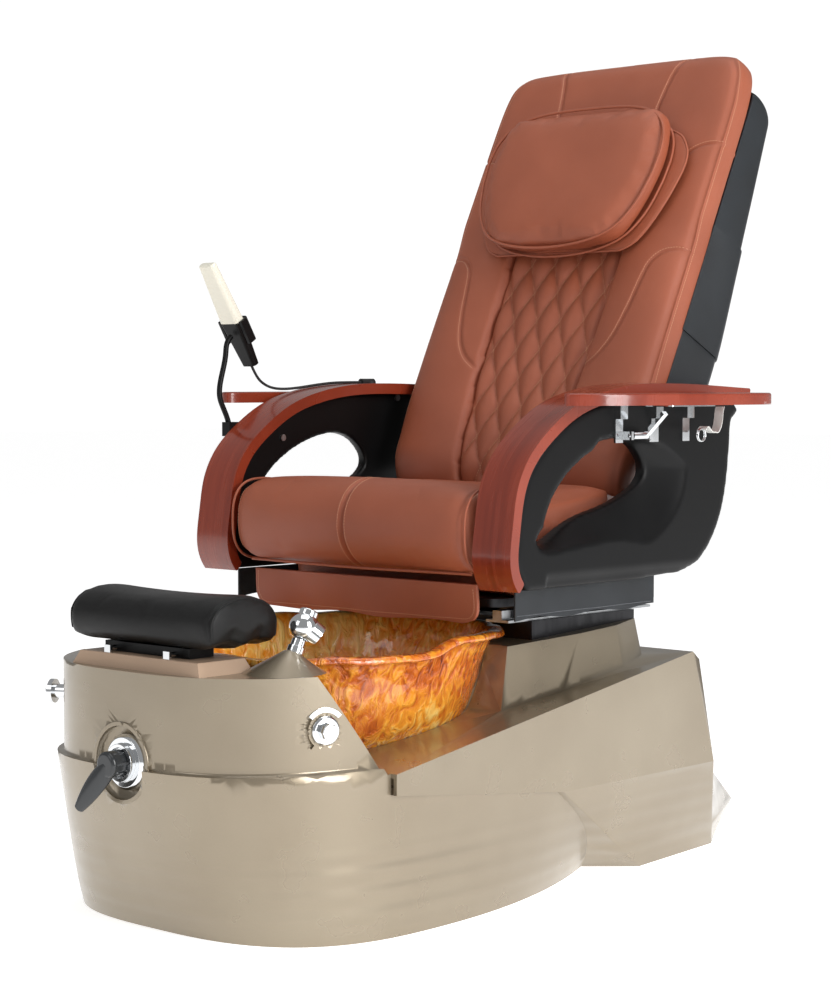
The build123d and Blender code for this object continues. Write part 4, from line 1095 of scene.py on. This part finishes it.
# pull strap under each tray, with its ring
STRAP_X = 0.404
STRAP_LINE = [
    (0.236, 0.779), (0.243, 0.786), (0.250, 0.780), (0.262, 0.775),
    (0.276, 0.777), (0.284, 0.792), (0.287, 0.810), (0.291, 0.821),
]
RING_Y, RING_Z, RING_RADIUS = 0.232, 0.771, 0.011
for side, sign in (("left", 1), ("right", -1)):
    band = smooth_line([(STRAP_X, y, z) for y, z in STRAP_LINE], 0.003)
    strap = start("grid", f"pull_strap_{side}", x_subdivisions=len(band) - 1, y_subdivisions=6, size=1)

    def strap_place(flat, band=band, sign=sign):
        spot = band[round((flat.x + 0.5) * (len(band) - 1))]
        rib = 0.0006 * math.sin(flat.x * 160)
        return Vector((sign * (spot.x + flat.y * 0.018), spot.y, spot.z + rib))

    sculpt(strap, strap_place)
    modify(strap, "SOLIDIFY", thickness=0.0016, offset=0)
    face_out(strap)
    done(strap, webbing, "seat", 50)
    rings = []
    for shift in (0, 0.0028):
        hoop = []
        for k in range(32):
            wide = RING_RADIUS * math.cos(k * math.pi / 16)
            high = RING_RADIUS * math.sin(k * math.pi / 16)
            hoop.append(Vector((sign * (STRAP_X + shift), RING_Y + wide, RING_Z + high)))
        rings.append(tube(f"hoop_{side}_{shift}", hoop, 0.0012, True))
    done(weld(f"split_ring_{side}", rings), chrome, "seat", 60)

back_cover = softened("back_shell", "back_cover", 0.003, black_hide, "back", 30, 3)
sleeve = bpy.data.objects.new("back_sleeve", back_cover.data.copy())
bpy.context.scene.collection.objects.link(sleeve)
SLEEVE_LOW, SLEEVE_HIGH = 0.146, 0.360
for up, facing in ((SLEEVE_LOW, -1), (SLEEVE_HIGH, 1)):
    cut = {"plane_co": tuple(on_back(0, up, 0)), "plane_no": tuple(BACK_UP * facing)}
    cut.update(clear_outer=True, use_fill=False)
    edit(sleeve, (bpy.ops.mesh.select_all, {"action": "SELECT"}), (bpy.ops.mesh.bisect, cut))
edit(
    sleeve,
    (bpy.ops.mesh.select_all, {"action": "SELECT"}),
    (bpy.ops.transform.shrink_fatten, {"value": 0.0028}),
)
modify(sleeve, "SOLIDIFY", thickness=0.0026, offset=-1)
done(sleeve, black_hide, "back", 40)

# ---------------------------------------------------------------- light and floor
world = bpy.data.worlds.new("studio")
bpy.context.scene.world = world
world.use_nodes = True
sky = world.node_tree
glow = sky.nodes["Background"]
glow.inputs["Color"].default_value = (1, 1, 1, 1)
seen = sky.nodes.new("ShaderNodeLightPath")
lift = sky.nodes.new("ShaderNodeMath")
lift.operation = "MULTIPLY_ADD"
lift.inputs[1].default_value = 0.7
lift.inputs[2].default_value = 0.34
sky.links.new(seen.outputs["Is Camera Ray"], lift.inputs[0])
sky.links.new(lift.outputs[0], glow.inputs["Strength"])


def softbox(name, place, aim, wide, tall, watts):
    light = bpy.data.lights.new(name, "AREA")
    light.shape = "RECTANGLE"
    light.size = wide
    light.size_y = tall
    light.energy = watts
    box = bpy.data.objects.new(name, light)
    box.location = place
    box.rotation_euler = (Vector(aim) - Vector(place)).to_track_quat("-Z", "Y").to_euler()
    bpy.context.scene.collection.objects.link(box)


softbox("key", (3.9, -0.3, 1.9), (0, 0, 0.5), 1.6, 2.6, 135)
softbox("fill", (-0.6, -3.8, 2.6), (0, 0, 0.7), 1.6, 2.2, 20)
softbox("top", (0.3, 0.2, 4.2), (0, 0, 0), 3.0, 3.0, 50)

bpy.ops.object.select_all(action="DESELECT")
bpy.ops.mesh.primitive_plane_add(size=60, location=(0, 0, 0))
floor = bpy.context.object
floor.name = "studio_floor"
floor_finish = Finish(
    "floor_paper", (0.98, 0.98, 0.98, 1), 0.9, Emission_Color=(1, 1, 1, 1), Emission_Strength=0.66
)
fibre = floor_finish.mix(floor_finish.noise(40), (0.97, 0.97, 0.97, 1), (1, 1, 1, 1))
floor_finish.set("Base Color", fibre)
floor.data.materials.append(floor_finish.material)
floor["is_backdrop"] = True

low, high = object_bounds()
